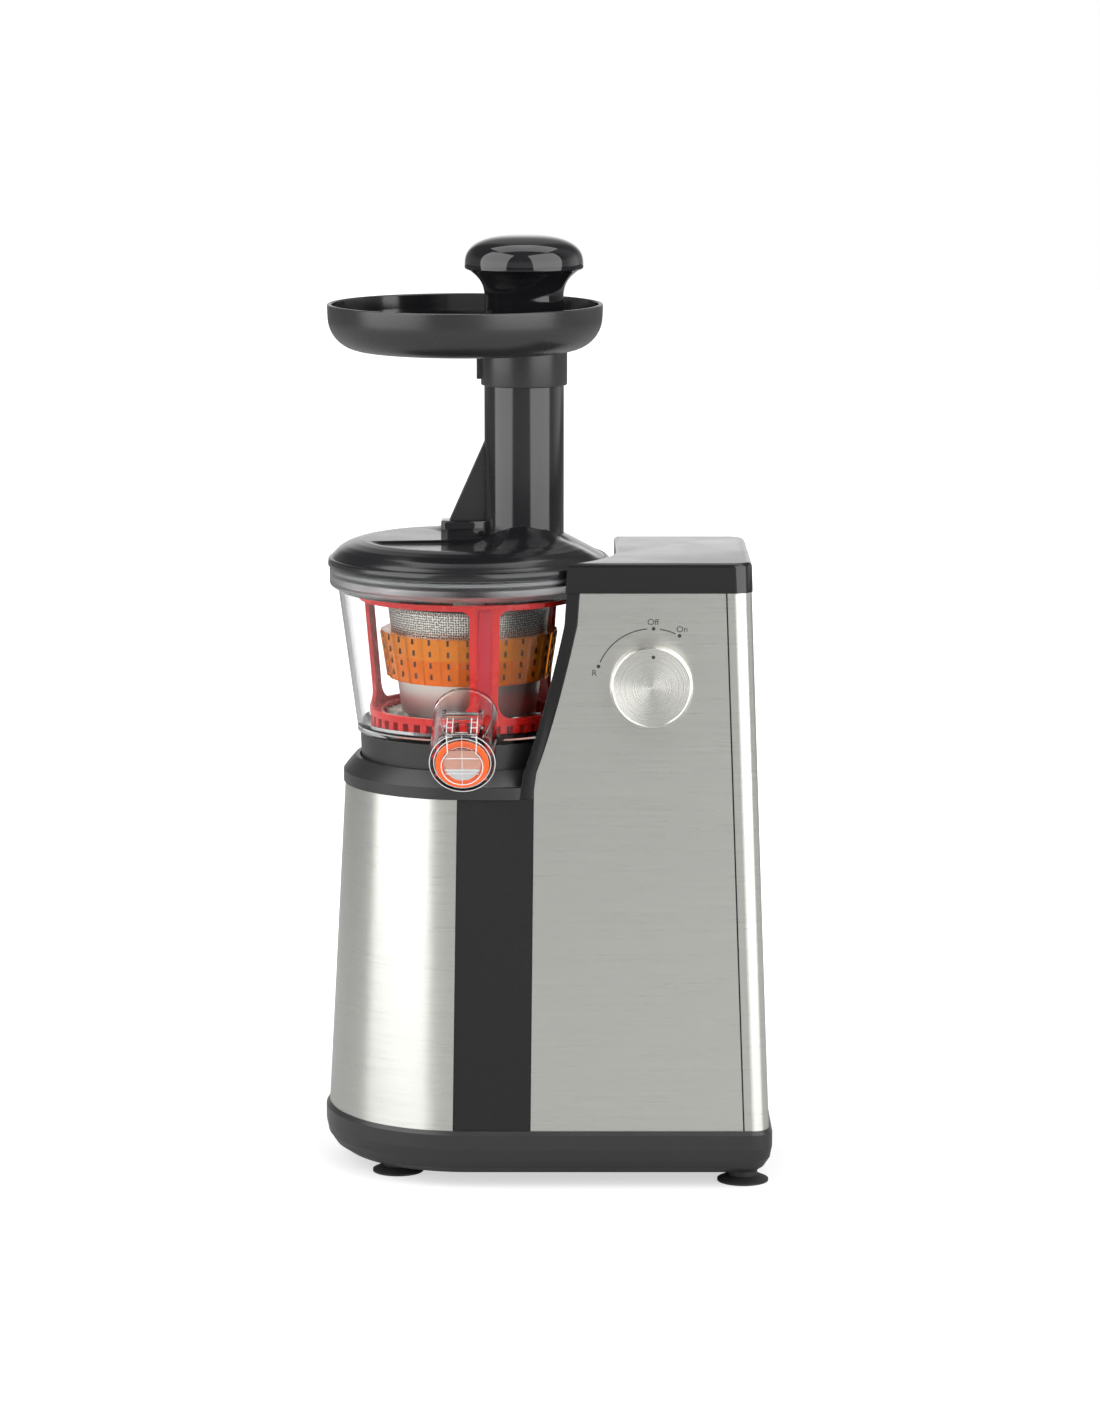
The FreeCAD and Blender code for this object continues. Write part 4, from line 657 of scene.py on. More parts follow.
def deck_height(x, y):
    """Height of the lid without its scoop: round shoulder, cone at the right rear, rise to the tube."""
    r = np.hypot(x - BOWL_X, y)
    azimuth = np.degrees(np.arctan2(y, x - BOWL_X))
    shoulder = np.interp(r, *np.transpose(LID_OUTLINE))
    cone = np.minimum(316.0 + 0.541 * (70.0 - r), 334.5)
    share = bump_step((azimuth + 26) / 18) * (1 - bump_step((azimuth - 87) / 34))
    height = np.where(r < 70.0, shoulder * (1 - share) + cone * share, shoulder)
    facing = np.degrees(np.arctan2(y, x - FEED_X))
    lift = np.interp(facing, [-180, -155, -132, -109, -87, -57, -45, -32, 150, 180],
                     [1.0, 2.9, 6.0, 8.6, 9.3, 6.9, 3.5, 0.0, 0.0, 1.0])
    width = np.interp(facing, [-180, -140, -110, -50, -20], [9.0, 12.0, 25.0, 25.0, 12.0])
    gap = np.clip(1 - (np.hypot(x - FEED_X, y) - TUBE_RADIUS) / width, 0, 1)
    return height + lift * gap ** 2.2


def ridge_y(x):
    """Front edge of the flat deck, slanting towards the rear on the right."""
    return -8.0 + 0.13 * (x + 50)


def front_y(x):
    """Front edge of the scoop: an arc about the bowl at the left, and a rounded end beside the tube."""
    arc = -np.sqrt(np.clip(SCOOP_RADIUS ** 2 - (x - BOWL_X) ** 2, 0, None))
    u = np.clip((x - BOWL_X) / 45.0, 0, 1)
    end = -14.5 - (SCOOP_RADIUS - 14.5) * (1 - u ** 2.5) ** (1 / 2.5)
    return np.where(x < BOWL_X, arc, end)


def lid_height(x, y):
    """Lid's top with the scoop: deepest under the ridge, and level with the dome at its front edge."""
    ridge = ridge_y(x)
    front = front_y(x)
    t = np.clip((ridge - y) / np.maximum(ridge - front, 1e-6), 0, 1)
    depth = 1.7 - 0.5 * bump_step((x + 52) / 26)
    wall = bump_step((ridge - y) / 3.2)
    ends = bump_step((x + 92.0) / 9) * bump_step((SCOOP_RIGHT - x) / 8)
    lip = 1 - bump_step((t - 0.86) / 0.14)
    inside = (y < ridge) & (y > front) & (x < SCOOP_RIGHT)
    return deck_height(x, y) - np.where(inside, depth * wall * ends * (1 - 0.75 * t) * lip, 0)


def lid_skin(radii, height_of, count=400):
    """Polar grid of points over the lid, and its faces, with the feed tube's hole left out. Points inside
    the tube are moved to its wall, and faces that lie wholly inside are dropped."""
    angle = np.linspace(0, 2 * np.pi, count, endpoint=False)
    r, a = np.meshgrid(radii, angle, indexing="ij")
    x, y = BOWL_X + r * np.cos(a), r * np.sin(a)
    away = np.hypot(x - FEED_X, y)
    wall = TUBE_RADIUS - 0.1
    inner = away < wall
    pull = np.where(inner, wall / np.maximum(away, 1e-6), 1.0)
    x, y = FEED_X + (x - FEED_X) * pull, y * pull
    points, faces = skin(np.stack([x, y, height_of(x, y)], -1))
    return points, faces[inner.reshape(-1)[faces].sum(1) < 4]


print("height beside the tube", round(float(deck_height(-11.5, -21)), 1))

# %% [markdown]
# The top skin has rings every half millimetre over the scoop, because its step is steep, and closer ones
# round the rim. The underside is plain rings: the rim's foot, the spigot that enters the bowl and the
# hollow under the dome. Both skins end on the tube's wall.

# %% Lid


def gather(parts):
    """Several (points, faces) pairs as one."""
    points, faces, start = [], [], 0
    for part_points, part_faces in parts:
        points.append(np.asarray(part_points, float))
        faces += [[int(i) + start for i in face] for face in part_faces]
        start += len(part_points)
    return np.concatenate(points), faces


top_radii = np.concatenate([np.linspace(0.3, 57, 112), np.linspace(57.8, 69, 16),
                            np.linspace(69.5, 72.1, 14)])
UNDERSIDE = ((72.0, 311.8), (68.5, 311.8), (68.3, 311.0), (68.2, 306.8), (67.9, 306.5), (66.6, 306.5),
             (66.5, 314.0), (60.0, 319.0), (50.0, 321.2), (30.0, 321.3), (0.3, 321.3))
under_r, under_z = np.transpose(UNDERSIDE)
under_skin = lid_skin(under_r, lambda x, y: np.broadcast_to(under_z[:, None], x.shape))
rim_edge = skin(turn([LID_OUTLINE[-1], UNDERSIDE[0]], BOWL_X, 400))
make_piece("lid_dome", *gather([lid_skin(top_radii, lid_height), under_skin, rim_edge]), lid_black, "lid",
           "black_satin", ("lid",), sharp=60.0)

# %% [markdown]
# The feed tube is turned, with a rounded mouth. At its foot are a block with rounded ends and a thin fin
# above it, both drawn as outlines and extruded, with live bevels so their edges catch the light.

# %% Feed tube, block and fin
BLOCK_TOP = 334.5
FIN_HALF = 2.0
tube_top = tray_floor - 0.3
tube_left = FEED_X - TUBE_RADIUS
tube_outline = rounded([(BORE_RADIUS, 319.4), (TUBE_RADIUS, 319.4), (TUBE_RADIUS, tube_top),
                        (BORE_RADIUS, tube_top)], [0, 0, 0.8, 0.8], 4)
make_piece("feed_pipe", *turned(tube_outline, FEED_X, 144), tube_black, "lid", "black_satin",
           ("feed_tube",))
bow_x = np.linspace(-1, 1, 13)
bow = np.stack([tube_left - 10.6 + 10.2 * bow_x, -5.4 - 1.7 * (1 - bow_x ** 2)], 1)
block_outline = np.concatenate([[(tube_left - 22.2, 6.5), (tube_left - 22.2, -5.0)], bow,
                                [(tube_left + 3.0, -5.2), (tube_left + 3.0, 6.5)]])
make_piece("foot_block", *prism(block_outline, DECK_Z - 1.5, BLOCK_TOP), gloss_black, "lid", "black_satin",
           bevel=0.8)
fin = [(tube_left + 2.0, 333.0), (tube_left - 18.2, 333.0), (tube_left - 17.8, 335.2),
       (tube_left + 0.4, 376.0), (tube_left + 2.0, 376.4)]
fin_points, fin_faces = prism(fin, -FIN_HALF, FIN_HALF)
make_piece("foot_fin", fin_points[:, [0, 2, 1]], fin_faces, satin_black, "lid", "black_satin", bevel=0.6)

# %% [markdown]
# The brush cage is a tapered shell with three large windows, moulded in red plastic. Each third of it is a
# plate in angle and height: rings of points run from the plate's straight border to the window's rounded
# one, along rays from the window's middle, so both have matching points. The plate is then wrapped on the
# cone, once for the outside and once for the inside. A bar's half width can differ on its two sides.

# %% Brush cage
cage_low = reach("brush_cage")[0]
CAGE_FOOT = cage_low[2] + 5.5
CAGE_TOP = 299.6
CAGE_FOOT_R = 51.0
CAGE_TOP_R = 56.8
CAGE_WALL = 2.2
BAR_ANGLE = -80.8
BAR_HALF = ((7.8, 7.8), (4.4, 4.4), (1.2, 7.8))
WINDOW_LOW = CAGE_FOOT + 3.6
WINDOW_HIGH = 294.9
WINDOW_ROUND = (8.5, 8.5, 4.2, 4.2)
HALF_SECTOR = 60.0


def on_cone(angle, height, inset=0.0):
    """Point on the cage's cone at an angle in degrees and a height."""
    share = (height - CAGE_FOOT) / (CAGE_TOP - CAGE_FOOT)
    radius = CAGE_FOOT_R + (CAGE_TOP_R - CAGE_FOOT_R) * share - inset
    a = np.radians(angle)
    return np.stack([BOWL_X + radius * np.cos(a), radius * np.sin(a), height + 0 * a], -1)


def window_rings(bar):
    """Rings (angle, height) from the border of the plate after a bar to its rounded window."""
    per_degree = CAGE_FOOT_R * math.pi / 180
    start = (BAR_HALF[bar][1] - HALF_SECTOR) * per_degree
    end = (HALF_SECTOR - BAR_HALF[(bar + 1) % 3][0]) * per_degree
    window = rounded([(start, WINDOW_LOW), (end, WINDOW_LOW), (end, WINDOW_HIGH), (start, WINDOW_HIGH)],
                     WINDOW_ROUND, 8)
    turns = np.concatenate([window, window[:1]])
    along = np.linspace(0, 1, 13)[:-1, None, None]
    dense = (turns[:-1] * (1 - along) + turns[1:] * along).transpose(1, 0, 2).reshape(-1, 2)
    mid_z = (WINDOW_LOW + WINDOW_HIGH) / 2
    inner = dense / [per_degree, 1] - [0, mid_z]
    half_z = np.where(inner[:, 1] < 0, mid_z - CAGE_FOOT, CAGE_TOP - mid_z)
    to_border = np.stack([np.full(len(inner), HALF_SECTOR), half_z]) / np.maximum(np.abs(inner.T), 1e-6)
    outer = inner * to_border.min(0)[:, None]
    share = np.array([0.0, 0.5, 0.9, 1.0])[:, None, None]
    rings = outer * (1 - share) + inner * share + [0, mid_z]
    return rings + [BAR_ANGLE + HALF_SECTOR + 120 * bar, 0]


def cage_sector(bar):
    """One third of the cage, outside, window edge and inside, as one skin."""
    angle, height = np.moveaxis(window_rings(bar), -1, 0)
    return skin(np.concatenate([on_cone(angle, height), on_cone(angle, height, CAGE_WALL)[::-1]]))


def cage_edge(height):
    """Flat ring that closes the shell at its top or its foot."""
    angle = np.arange(360.0)
    return skin(np.stack([on_cone(angle, height + 0 * angle, inset) for inset in (0.0, CAGE_WALL)]))


make_piece("cage_shell", *gather([cage_sector(bar) for bar in range(3)]), cage_red, "brush", "red_plastic",
           ("brush_cage",), sharp=40.0)

# %% [markdown]
# Under the shell hang the cage's gear teeth. Inside they are an internal gear, with flanks on an involute,
# so that they mesh with the idler. Outside they show as square blocks with gaps. One tooth is an outline
# in plan, and numpy turns it to all the places at once.

# %% Gear teeth of the cage
TEETH = 46
TOOTH_START = 150.0
TOOTH_LOW = cage_low[2]
PRESSURE = math.radians(25.0)
MODULE = 2.0
SLACK = 0.22
BLOCK_HALF = 0.033


def involute(radius):
    """Involute function at a radius: tan(p) - p, with cos(p) = base radius / radius."""
    p = np.arccos(np.clip(TEETH * MODULE / 2 * math.cos(PRESSURE) / radius, 0, 1))
    return np.tan(p) - p


def cage_teeth():
    """All teeth, the shelf that joins them, and the rings that close the shell."""
    pitch_radius = TEETH * MODULE / 2
    rise = np.array([-1.6, -0.8, 0.0, 0.8, 1.6, 1.7, CAGE_FOOT_R - 0.3 - pitch_radius])
    radius = pitch_radius + rise
    half = np.pi / (2 * TEETH) - SLACK / (2 * pitch_radius) + involute(radius) - involute(pitch_radius)
    half[-2:] = BLOCK_HALF
    radius, angle = np.concatenate([radius, radius[::-1]]), np.concatenate([-half, half[::-1]])
    parts = []
    for middle in np.radians(TOOTH_START) + 2 * np.pi * np.arange(TEETH) / TEETH:
        plan = np.stack([BOWL_X + radius * np.cos(angle + middle), radius * np.sin(angle + middle)], 1)
        parts.append(prism(plan, TOOTH_LOW, CAGE_FOOT + 0.4))
    inner, outer, top = 44.6, 49.5, CAGE_FOOT + 1.8
    shelf = rounded([(inner, CAGE_FOOT), (outer, CAGE_FOOT), (outer, top), (inner, top)], [0.3] * 4, 3)
    return gather(parts + [turned(shelf, BOWL_X, 144), cage_edge(CAGE_TOP), cage_edge(CAGE_FOOT)])


make_piece("cage_teeth", *cage_teeth(), cage_red, "brush", "red_plastic", sharp=30.0)

# %% [markdown]
# Each bar carries a soft wiper. From the front it is a raised, darker strip with rounded edges, so it is a
# small grid in angle and height, lifted off the cone in its middle.

# %% Wipers
WIPER_LOW, WIPER_HIGH = CAGE_FOOT + 5.0, 295.6
WIPER_RADIUS = 54.0
SIDE_STEP = np.array([0.0, 0.0, 0.25, 0.7])
END_STEP = np.array([0.0, 0.0, 0.6, 1.2])
EDGE_LIFT = np.array([-0.6, 0.7, 1.1, 1.25])


def wiper(middle, half):
    """Strip on the cone, as a grid in angle and height: sunk at its border and lifted inside."""
    u = np.concatenate([SIDE_STEP - half, (half - SIDE_STEP)[::-1]])
    v = np.concatenate([WIPER_LOW + END_STEP, (WIPER_HIGH - END_STEP)[::-1]])
    lift = np.concatenate([EDGE_LIFT, EDGE_LIFT[::-1]])
    uu, vv = np.meshgrid(u, v, indexing="ij")
    angle = middle + np.degrees(uu / WIPER_RADIUS)
    return skin(on_cone(angle, vv, -np.minimum(lift[:, None], lift)), close_cols=False)


wipers = [wiper(BAR_ANGLE, 3.3), wiper(BAR_ANGLE + 120, 1.6), wiper(BAR_ANGLE + 243.3, 1.6)]
make_piece("wiper_strips", *gather(wipers), wiper_red, "brush", "red_silicone", ("wiper_blades",),
           sharp=50.0)

# %% [markdown]
# The strainer is a steel cone with a rolled rim, and an amber frame is clipped round its middle. The frame
# is a closed skin whose outer radius rises at each upright rib, so its ribs are part of one grid. Between
# the ribs are columns of four slots, which are small dark bars let into its face: painted shade for the
# open slots.

# %% Strainer and its amber frame
SIEVE_FOOT = 236.0
SIEVE_TOP = 292.6
SIEVE_FOOT_R, SIEVE_TOP_R = 34.6, 41.5
SIEVE_HOLE = 13.6
SHEET = 1.2
FRAME_LOW = 254.2
FRAME_HIGH = 278.6
FRAME_LOW_R, FRAME_HIGH_R = 41.2, 45.0
RIBS = 28
RIB_RISE = 0.9
SLOT_PITCH = 6.0
SLOT_HEIGHT = 2.8
SLOT_HALF = 0.5


def sieve_radius(z):
    return SIEVE_FOOT_R + (SIEVE_TOP_R - SIEVE_FOOT_R) * (z - SIEVE_FOOT) / (SIEVE_TOP - SIEVE_FOOT)


def frame_radius(z):
    return FRAME_LOW_R + (FRAME_HIGH_R - FRAME_LOW_R) * (z - FRAME_LOW) / (FRAME_HIGH - FRAME_LOW)


def sieve_outline():
    """Floor with its hole, wall of the cone, and rolled rim."""
    foot, top = sieve_radius(SIEVE_FOOT), sieve_radius(SIEVE_TOP)
    return rounded([(SIEVE_HOLE, SIEVE_FOOT), (foot, SIEVE_FOOT), (top, SIEVE_TOP - 2.2),
                    (top + 0.9, SIEVE_TOP - 1.1), (top + 0.2, SIEVE_TOP), (top - 1.0, SIEVE_TOP - 0.4),
                    (foot - SHEET, SIEVE_FOOT + SHEET), (SIEVE_HOLE, SIEVE_FOOT + SHEET)],
                   [0, 1.0, 0.4, 0.8, 0.4, 0.4, 0.6, 0], 4)


make_piece("sieve", *turned(sieve_outline(), BOWL_X, 192), pierced_sheet, "bowl", "screen_steel",
           ("strainer",))


def frame_skin():
    """Closed grid: inner wall, foot edge, outer wall with ribs, top edge."""
    angle = np.linspace(0, 2 * np.pi, RIBS * 16, endpoint=False)
    phase = (angle * RIBS / (2 * np.pi)) % 1.0
    rib = RIB_RISE * np.clip(1.6 - np.abs(phase - 0.5) * 12, 0, 1)
    z = np.array([FRAME_LOW, FRAME_LOW, FRAME_LOW + 0.7, FRAME_HIGH - 0.7, FRAME_HIGH, FRAME_HIGH])[:, None]
    inset = np.array([0.0, 0.4, 0.0, 0.0, 0.4, 0.0])[:, None]
    rib_share = np.array([0, 0.4, 1, 1, 0.4, 0])[:, None]
    wall = frame_radius(z) - inset + rib * rib_share
    radius = np.where(rib_share > 0, wall, sieve_radius(z) + 0.15)
    grid = np.stack([BOWL_X + radius * np.cos(angle), radius * np.sin(angle), z + 0 * radius], -1)
    return skin(grid, close_rows=True)


make_piece("amber_frame", *frame_skin(), amber_clear, "bowl", "amber_plastic", ("strainer_frame",),
           sharp=25.0)


def slot_shade_bars():
    """Dark bars in the slots between the ribs, four in a column: painted shade for the open slots."""
    parts = []
    for column in range(RIBS):
        a = 2 * math.pi * column / RIBS
        for z in FRAME_LOW + 3.2 + SLOT_PITCH * np.arange(4):
            r = frame_radius(z + 1.5)
            side = SLOT_HALF / r
            ring = [(r - 1.0, -side), (r + 0.32, -side), (r + 0.32, side), (r - 1.0, side)]
            plan = [(BOWL_X + q * math.cos(a + s), q * math.sin(a + s)) for q, s in ring]
            parts.append(prism(plan, z, z + SLOT_HEIGHT))
    return gather(parts)


# The slots are dark bars, painted shade where the frame is open.
make_piece("frame_slot_shade", *slot_shade_bars(), painted_slot_shade, "bowl", "amber_plastic")

# %% [markdown]
# The flap hangs on the front of the spout. It is a clear disc on an arm that reaches over the spout to a
# hinge, with an orange silicone ring behind it. All of it lies in the spout's own frame: side, rise and
# out, from the middle of the mouth. The hinge's rise and out are the one measure that ties it to the pin.

# %% Frame of the spout
TILT, TURN = math.radians(20.0), math.radians(-91.0)
HINGE = (19.3, -13.0)
pin_low, pin_high = reach("flap_pin")
PIN = (pin_low + pin_high) / 2
OUT = np.array([math.cos(TURN) * math.cos(TILT), math.sin(TURN) * math.cos(TILT), -math.sin(TILT)])
SIDE = np.array([-OUT[1], OUT[0], 0.0]) / math.hypot(OUT[0], OUT[1])
RISE = np.cross(OUT, SIDE)
MOUTH = PIN - RISE * HINGE[0] - OUT * HINGE[1]
SPOUT = (MOUTH, [SIDE, RISE, OUT])
print("mouth of the spout", np.round(MOUTH, 1))

# %% [markdown]
# The disc and the ring are turned about the spout's axis, and the beads of the mouth run round it. The arm
# and the hinge's knuckle are boxes and a bar in the same frame. Ribs, beads and a step in a whitish,
# half-clear material paint the white lines that clear plastic shows at its edges: painted highlights.

# %% Bars and beads of the flap


def local_box(a0, a1, b0, b1, c0, c1):
    return prism([(a0, b0), (a1, b0), (a1, b1), (a0, b1)], c0, c1)


def bar(p, q, radius, count=12):
    """Round bar between two local points, closed at its ends."""
    p, q = np.asarray(p, float), np.asarray(q, float)
    axis = (q - p) / np.linalg.norm(q - p)
    other = np.cross(axis, [0.3, 0.5, 0.81])
    u = other / np.linalg.norm(other)
    v = np.cross(axis, u)
    a = np.linspace(0, 2 * np.pi, count, endpoint=False)[:, None]
    ring = radius * (np.cos(a) * u + np.sin(a) * v)
    points, faces = skin(np.stack([p + ring, q + ring]))
    return points, faces.tolist() + [list(range(count)), list(range(count, 2 * count))]


def arc_bar(radius, height, thick, start=0.0, end=360.0, count=72):
    """Thin round bead along an arc in the spout's frame."""
    a = np.radians(np.linspace(start, end, count))[:, None]
    b = np.linspace(0, 2 * np.pi, 10, endpoint=False)[None]
    r = radius + thick * np.cos(b)
    return skin(np.stack([r * np.cos(a), r * np.sin(a), height + thick * np.sin(b) + 0 * a], -1))


def chord_disc(low, high, radius=9.2, count=48):
    """Outline of a disc cut by two level chords."""
    b = np.linspace(low, high, count)
    a = np.sqrt(np.clip(radius ** 2 - b ** 2, 0, None))
    return np.concatenate([np.stack([a, b], 1), np.stack([-a, b], 1)[::-1]])


def framed_piece(local, name, parts, material, body, slot, **more):
    """Piece of parts that are drawn along a local frame's three axes, from its origin."""
    origin, axes = local
    points, faces = gather(parts)
    return make_piece(name, origin + points @ np.asarray(axes), faces, material, body, slot, **more)


print("a bead has", len(arc_bar(10.3, 3.75, 0.28)[0]), "points")

# %% [markdown]
# The flap's parts follow the real one from its face to its hinge: disc, arm and knuckle in clear plastic,
# then the silicone ring with its thin film, then the ribs. The bead at the spout's mouth stays on the bowl
# when the flap swings up.

# %% Spout flap
RIB_FACE = 3.3
disc = rounded([(0.01, 1.9), (10.6, 1.9), (10.6, 3.7), (8.6, 3.7), (8.0, 3.1), (0.01, 3.1)],
               [0, 0.3, 0.5, 0.4, 0.3, 0], 4)
plate = [turned(disc, 0.0, 96), local_box(-7.7, 7.7, 9.0, 18.0, 1.9, 3.6),
         local_box(-7.7, 7.7, 16.9, 18.6, -12.0, 3.6), bar((-7.7, *HINGE), (7.7, *HINGE), 2.2, 24)]
seal = rounded([(9.3, 0.4), (13.3, 0.4), (13.3, 1.7), (9.3, 1.7)], [0.4] * 4, 4)
ribs = [arc_bar(10.3, 3.75, 0.28, -228, 48)]
ribs += [bar((side * 7.0, 7.7, 3.75), (side * 7.5, 17.6, 3.75), 0.3) for side in (-1, 1)]
ribs += [bar((-half, rise, RIB_FACE), (half, rise, RIB_FACE), thick)
         for half, rise, thick in ((8.6, 4.4, 0.28), (8.6, -2.2, 0.25), (8.2, -4.3, 0.25))]
ribs += [bar((0, -10.0, RIB_FACE), (0, 17.6, RIB_FACE), 0.18)]
for side in (-1, 1):
    for rung in range(1, 4):
        level = (HINGE[0] - 1.3 * rung, HINGE[1] + 4.4 * rung)
        ribs.append(bar((side * 4.6, *level), (side * 7.4, *level), 0.35))
ribs += [bar((a, 18.9, -12.0), (a, 18.9, 3.0), 0.25) for a in (-7.5, -4.6, 4.6, 7.5)]
# seal_step, flap_ribs and spout_bead wear the whitish finish, a painted highlight for clear plastic's
# edges.
for name, parts, material, body, slot, more in (
        ("flap_plate", plate, clear_part, "flap", "clear_plastic",
         {"stands_for": ("spout_flap",), "bevel": 0.25}),
        ("flap_ring", [turned(seal, 0.0, 96)], spout_silicone, "flap", "orange_silicone",
         {"stands_for": ("flap_seal",)}),
        ("seal_window", [prism(chord_disc(-2.3, 9.0), 0.9, 1.5)], seal_film, "flap", "orange_silicone", {}),
        ("seal_step", [prism(chord_disc(-9.0, -2.4), 0.9, 1.7)], painted_edge_highlight, "flap", "clear_plastic", {}),
        ("flap_ribs", ribs, painted_edge_highlight, "flap", "clear_plastic", {}),
        ("spout_bead", [arc_bar(14.1, 0.05, 0.3), arc_bar(16.3, -0.1, 0.25)], painted_edge_highlight, "bowl",
         "clear_plastic", {})):
    framed_piece(SPOUT, name, parts, material, body, slot, **more)

# %% [markdown]
# The knob is a spun aluminium cap: a face that is a little sunk inside a bright turned rim, and a plain
# side. Its outline is turned about the panel's normal. A dark dot is let into the face as the pointer.

# %% Knob
ACROSS = np.array([1.0, 0.0, 0.0])
UPHILL = np.cross(KNOB_OUT, ACROSS)
KNOB = (KNOB_AT, [ACROSS, UPHILL, KNOB_OUT])
knob_outline = rounded([(3.05, 0.6), (20.5, 0.6), (20.9, 1.2), (20.7, 10.6), (20.1, 12.3), (19.5, 12.5),
                        (19.1, 12.1), (0.01, 12.1), (0.01, 9.6), (3.05, 9.6)],
                       [0, 0.2, 0.4, 0.8, 0.3, 0.2, 0.2, 0, 0, 0], 4)
framed_piece(KNOB, "spun_cap", [turned(knob_outline)], spun_knob, "knob", "knob_metal",
             stands_for=("knob",), sharp=25.0)
dot = rounded([(0.01, 11.9), (0.95, 11.9), (0.95, 12.2), (0.01, 12.2)], [0, 0, 0.1, 0], 3)
dot_points, dot_faces = turned(dot, 0.0, 32)
framed_piece(KNOB, "pointer_dot", [(dot_points + [0.8, 15.4, 0.0], dot_faces)], dial_ink, "knob",
             "knob_metal")

# %% [markdown]
# Round the knob the dial is printed on the steel: three dots, two arcs between them, and the words for its
# stops. The ink is a very thin layer, so each mark is a flat shape with a little thickness, lying on the
# panel's own plane.

# %% Dial marks
DIAL = (KNOB_AT + ACROSS * 0.3 + UPHILL * 0.2, KNOB[1])
DIAL_RADIUS = 28.5
LINE_WIDTH = 0.55
DOT_RADIUS = 0.95
LETTER_SIZE = 4.4
INK = (0.02, 0.08)
STOPS = (160.5, 88.4, 61.0)
WORDS = {"R": (-30.3, 4.7), "Off": (-2.4, 30.4), "On": (12.2, 26.8)}


def flat_arc(start, end, count=60):
    """Outline of a thin band along the dial, between two angles in degrees."""
    a = np.radians(np.linspace(start, end, count))
    inner, outer = [np.stack([r * np.cos(a), r * np.sin(a)], 1)
                    for r in (DIAL_RADIUS - LINE_WIDTH / 2, DIAL_RADIUS + LINE_WIDTH / 2)]
    return np.concatenate([inner, outer[::-1]])


def spot(angle):
    """Outline of a dot on the dial at an angle in degrees."""
    a, ring = math.radians(angle), np.linspace(0, 2 * np.pi, 28, endpoint=False)
    middle = DIAL_RADIUS * np.array([math.cos(a), math.sin(a)])
    return middle + DOT_RADIUS * np.stack([np.cos(ring), np.sin(ring)], 1)


def lettering(word, across, up):
    """Flat mesh of a word, from a text curve that is then removed."""
    letters = bpy.data.curves.new("dial_" + word, "FONT")
    letters.body, letters.size, letters.resolution_u = word, LETTER_SIZE, 6
    drawn = bpy.data.objects.new("dial_" + word, letters)
    bpy.context.scene.collection.objects.link(drawn)
    bpy.context.view_layer.update()
    flat = bpy.data.meshes.new_from_object(drawn)
    bpy.data.objects.remove(drawn)
    points = np.empty(len(flat.vertices) * 3)
    flat.vertices.foreach_get("co", points)
    return points.reshape(-1, 3) + [across, up, INK[1]], [list(face.vertices) for face in flat.polygons]


outlines = [flat_arc(95.0, 156.0), flat_arc(65.5, 82.0)] + [spot(angle) for angle in STOPS]
framed_piece(DIAL, "dial_marks", [prism(outline, *INK) for outline in outlines], dial_ink, "base",
             "black_satin")
for word, (across, up) in WORDS.items():
    framed_piece(DIAL, "word_" + word, [lettering(word, across, up)], dial_ink, "base", "black_satin")

# %% [markdown]
# A product photo's floor and background are one white sweep. Here the floor is a pale, matt plane that
# takes the juicer's soft shadow. Where it is seen straight it glows as well, and more so further off, so it
# runs into the white background, and that glow doesn't light up the juicer from below.

# %% Floor
FLOOR_GLOW = 0.58
GLOW_REACH = (0.12, 0.6)
FLOOR_HALF = 6.0
corners = [(x * FLOOR_HALF, y * FLOOR_HALF, 0.0) for x, y in ((-1, -1), (1, -1), (1, 1), (-1, 1))]
floor_mesh = bpy.data.meshes.new("floor")
floor_mesh.from_pydata(corners, [], [[0, 1, 2, 3]])
floor = bpy.data.objects.new("floor", floor_mesh)
bpy.context.scene.collection.objects.link(floor)


def straight_view(tree):
    """1 for what the camera sees directly or through clear plastic, 0 for what a surface mirrors or
    scatters."""
    path = add(tree, "LightPath").outputs
    return calc(tree, "LESS_THAN", calc(tree, "MAXIMUM", path["Glossy Depth"], path["Diffuse Depth"]), 0.5)


def floor_material():
    """Pale matt floor. A straight view of it gets light of its own added, more of it further off, so that
    the floor meets the white background without a line."""
    material, tree, shader = start_material("pale_floor")
    far = vector(tree, "LENGTH", object_point(tree)).outputs["Value"]
    level = remap(tree, far, *GLOW_REACH, FLOOR_GLOW, 1.1)
    glow = calc(tree, "MULTIPLY", level, straight_view(tree))
    set_inputs(shader, Base_Color=(0.5, 0.5, 0.5), Roughness=0.9, Specular_IOR_Level=0.1,
               Emission_Color=(1.0, 1.0, 1.0), Emission_Strength=glow)
    return material


floor_mesh.materials.append(floor_material())

# %% [markdown]
# A product studio has a pale backdrop and large soft boxes at the left and the right of the camera. Their
# reflections draw the upright bands on the feed tube and the bright band on the steel column. The room
# is dimmer beside and above them, which keeps black plastic black, and the backdrop is white for the camera
# and for what is seen through the clear bowl. A weak lamp overhead lights the tray and the lid.

# %% Room light
# Azimuth in degrees from the camera's side, positive to the right, and the radiance seen there.
ROOM_LEVELS = ((-180, 1.2), (-167, 1.1), (-157, 0.28), (-120, 0.34), (-90, 0.50), (0, 0.64), (90, 0.55),
               (108, 1.10), (125, 1.10), (140, 0.45), (157, 0.40), (167, 1.1), (180, 1.2))


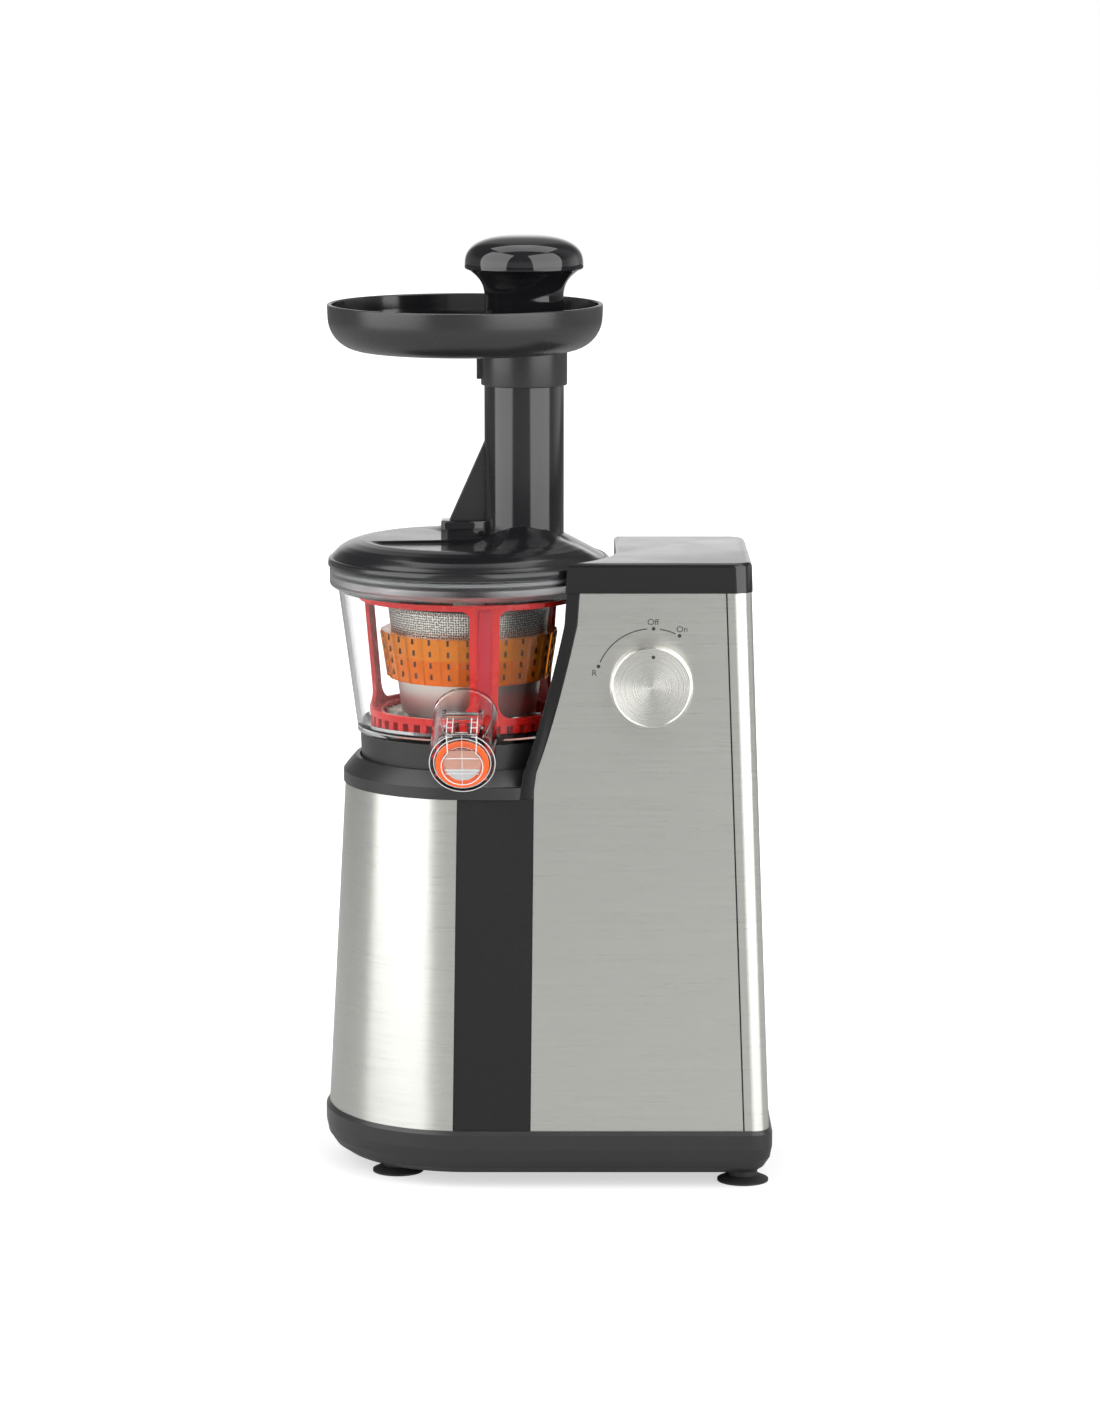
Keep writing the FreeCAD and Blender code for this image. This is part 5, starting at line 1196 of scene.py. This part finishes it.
def room():
    """World whose light depends on the azimuth, dims overhead, and is white where it is seen straight."""
    world = bpy.data.worlds.new("studio")
    world.use_nodes = True
    bpy.context.scene.world = world
    tree = world.node_tree
    tree.nodes.clear()
    x, y, z = add(tree, "SeparateXYZ", _0=add(tree, "TexCoord").outputs["Generated"]).outputs
    azimuth = calc(tree, "ARCTAN2", x, calc(tree, "MULTIPLY", y, -1.0))
    ramp = add(tree, "ValToRGB", _0=remap(tree, azimuth, -math.pi, math.pi, 0.0, 1.0))
    stops = ramp.color_ramp.elements
    while len(stops) < len(ROOM_LEVELS):
        stops.new(0.5)
    for stop, (angle, level) in zip(stops, ROOM_LEVELS):
        stop.position = (angle + 180) / 360
        stop.color = (level, level, level, 1.0)
    overhead = remap(tree, z, 0.1, 0.45, 1.0, 0.35, interpolation_type="SMOOTHSTEP")
    strength = add(tree, "Mix", {"data_type": "FLOAT"}, _0=straight_view(tree),
                   _2=calc(tree, "MULTIPLY", ramp, overhead), _3=1.0)
    light = add(tree, "Background", Color=(1.0, 1.0, 1.0), Strength=strength)
    add(tree, "OutputWorld", Surface=light)


def soft_box(name, azimuth, width, height, distance, level, lift, lean=0.0):
    """Area lamp at an azimuth measured from the camera's side; its radiance is power / (pi * area)."""
    lamp = bpy.data.lights.new(name, "AREA")
    lamp.shape = "RECTANGLE"
    lamp.size, lamp.size_y = width, height
    lamp.energy = level * math.pi * width * height
    box = bpy.data.objects.new(name, lamp)
    bpy.context.scene.collection.objects.link(box)
    a = math.radians(azimuth)
    box.location = (distance * math.sin(a), -distance * math.cos(a), lift)
    box.rotation_euler = (math.radians(90 - lean), 0, a)
    return box


room()
soft_box("left_soft_box", -63, 2.5, 3.4, 2.0, 2.9, 1.45, 12)
soft_box("right_soft_box", 48, 2.6, 3.4, 2.0, 2.9, 1.45, 12)
top_fill = soft_box("top_fill", 180, 2.4, 1.4, 0.40, 1.9, 2.4)
top_fill.rotation_euler = (0, 0, 0)

# %% [markdown]
# The photograph is taken from about two and a half metres, a little above the lid, with a long lens. The
# camera stands on the same line: straight in front of the knob side and tilted down, so that the uprights
# stay nearly upright. A long lens keeps the near and the far rims of the bowl almost equally wide.

# %% Camera
CAMERA_AT = (0.0017, -2.4164, 0.63293)
CAMERA_DROP = 9.35
shot = bpy.data.cameras.new("camera")
shot.sensor_fit = "VERTICAL"
shot.sensor_height = 36.0
shot.lens = 120.26
shot.clip_end = 100.0
camera = bpy.data.objects.new("camera", shot)
bpy.context.scene.collection.objects.link(camera)
camera.location = CAMERA_AT
camera.rotation_euler = (math.radians(90 - CAMERA_DROP), 0, 0)
bpy.context.scene.camera = camera
bpy.context.scene.view_settings.view_transform = "Standard"
print("camera", CAMERA_AT, "lens", round(shot.lens, 2))
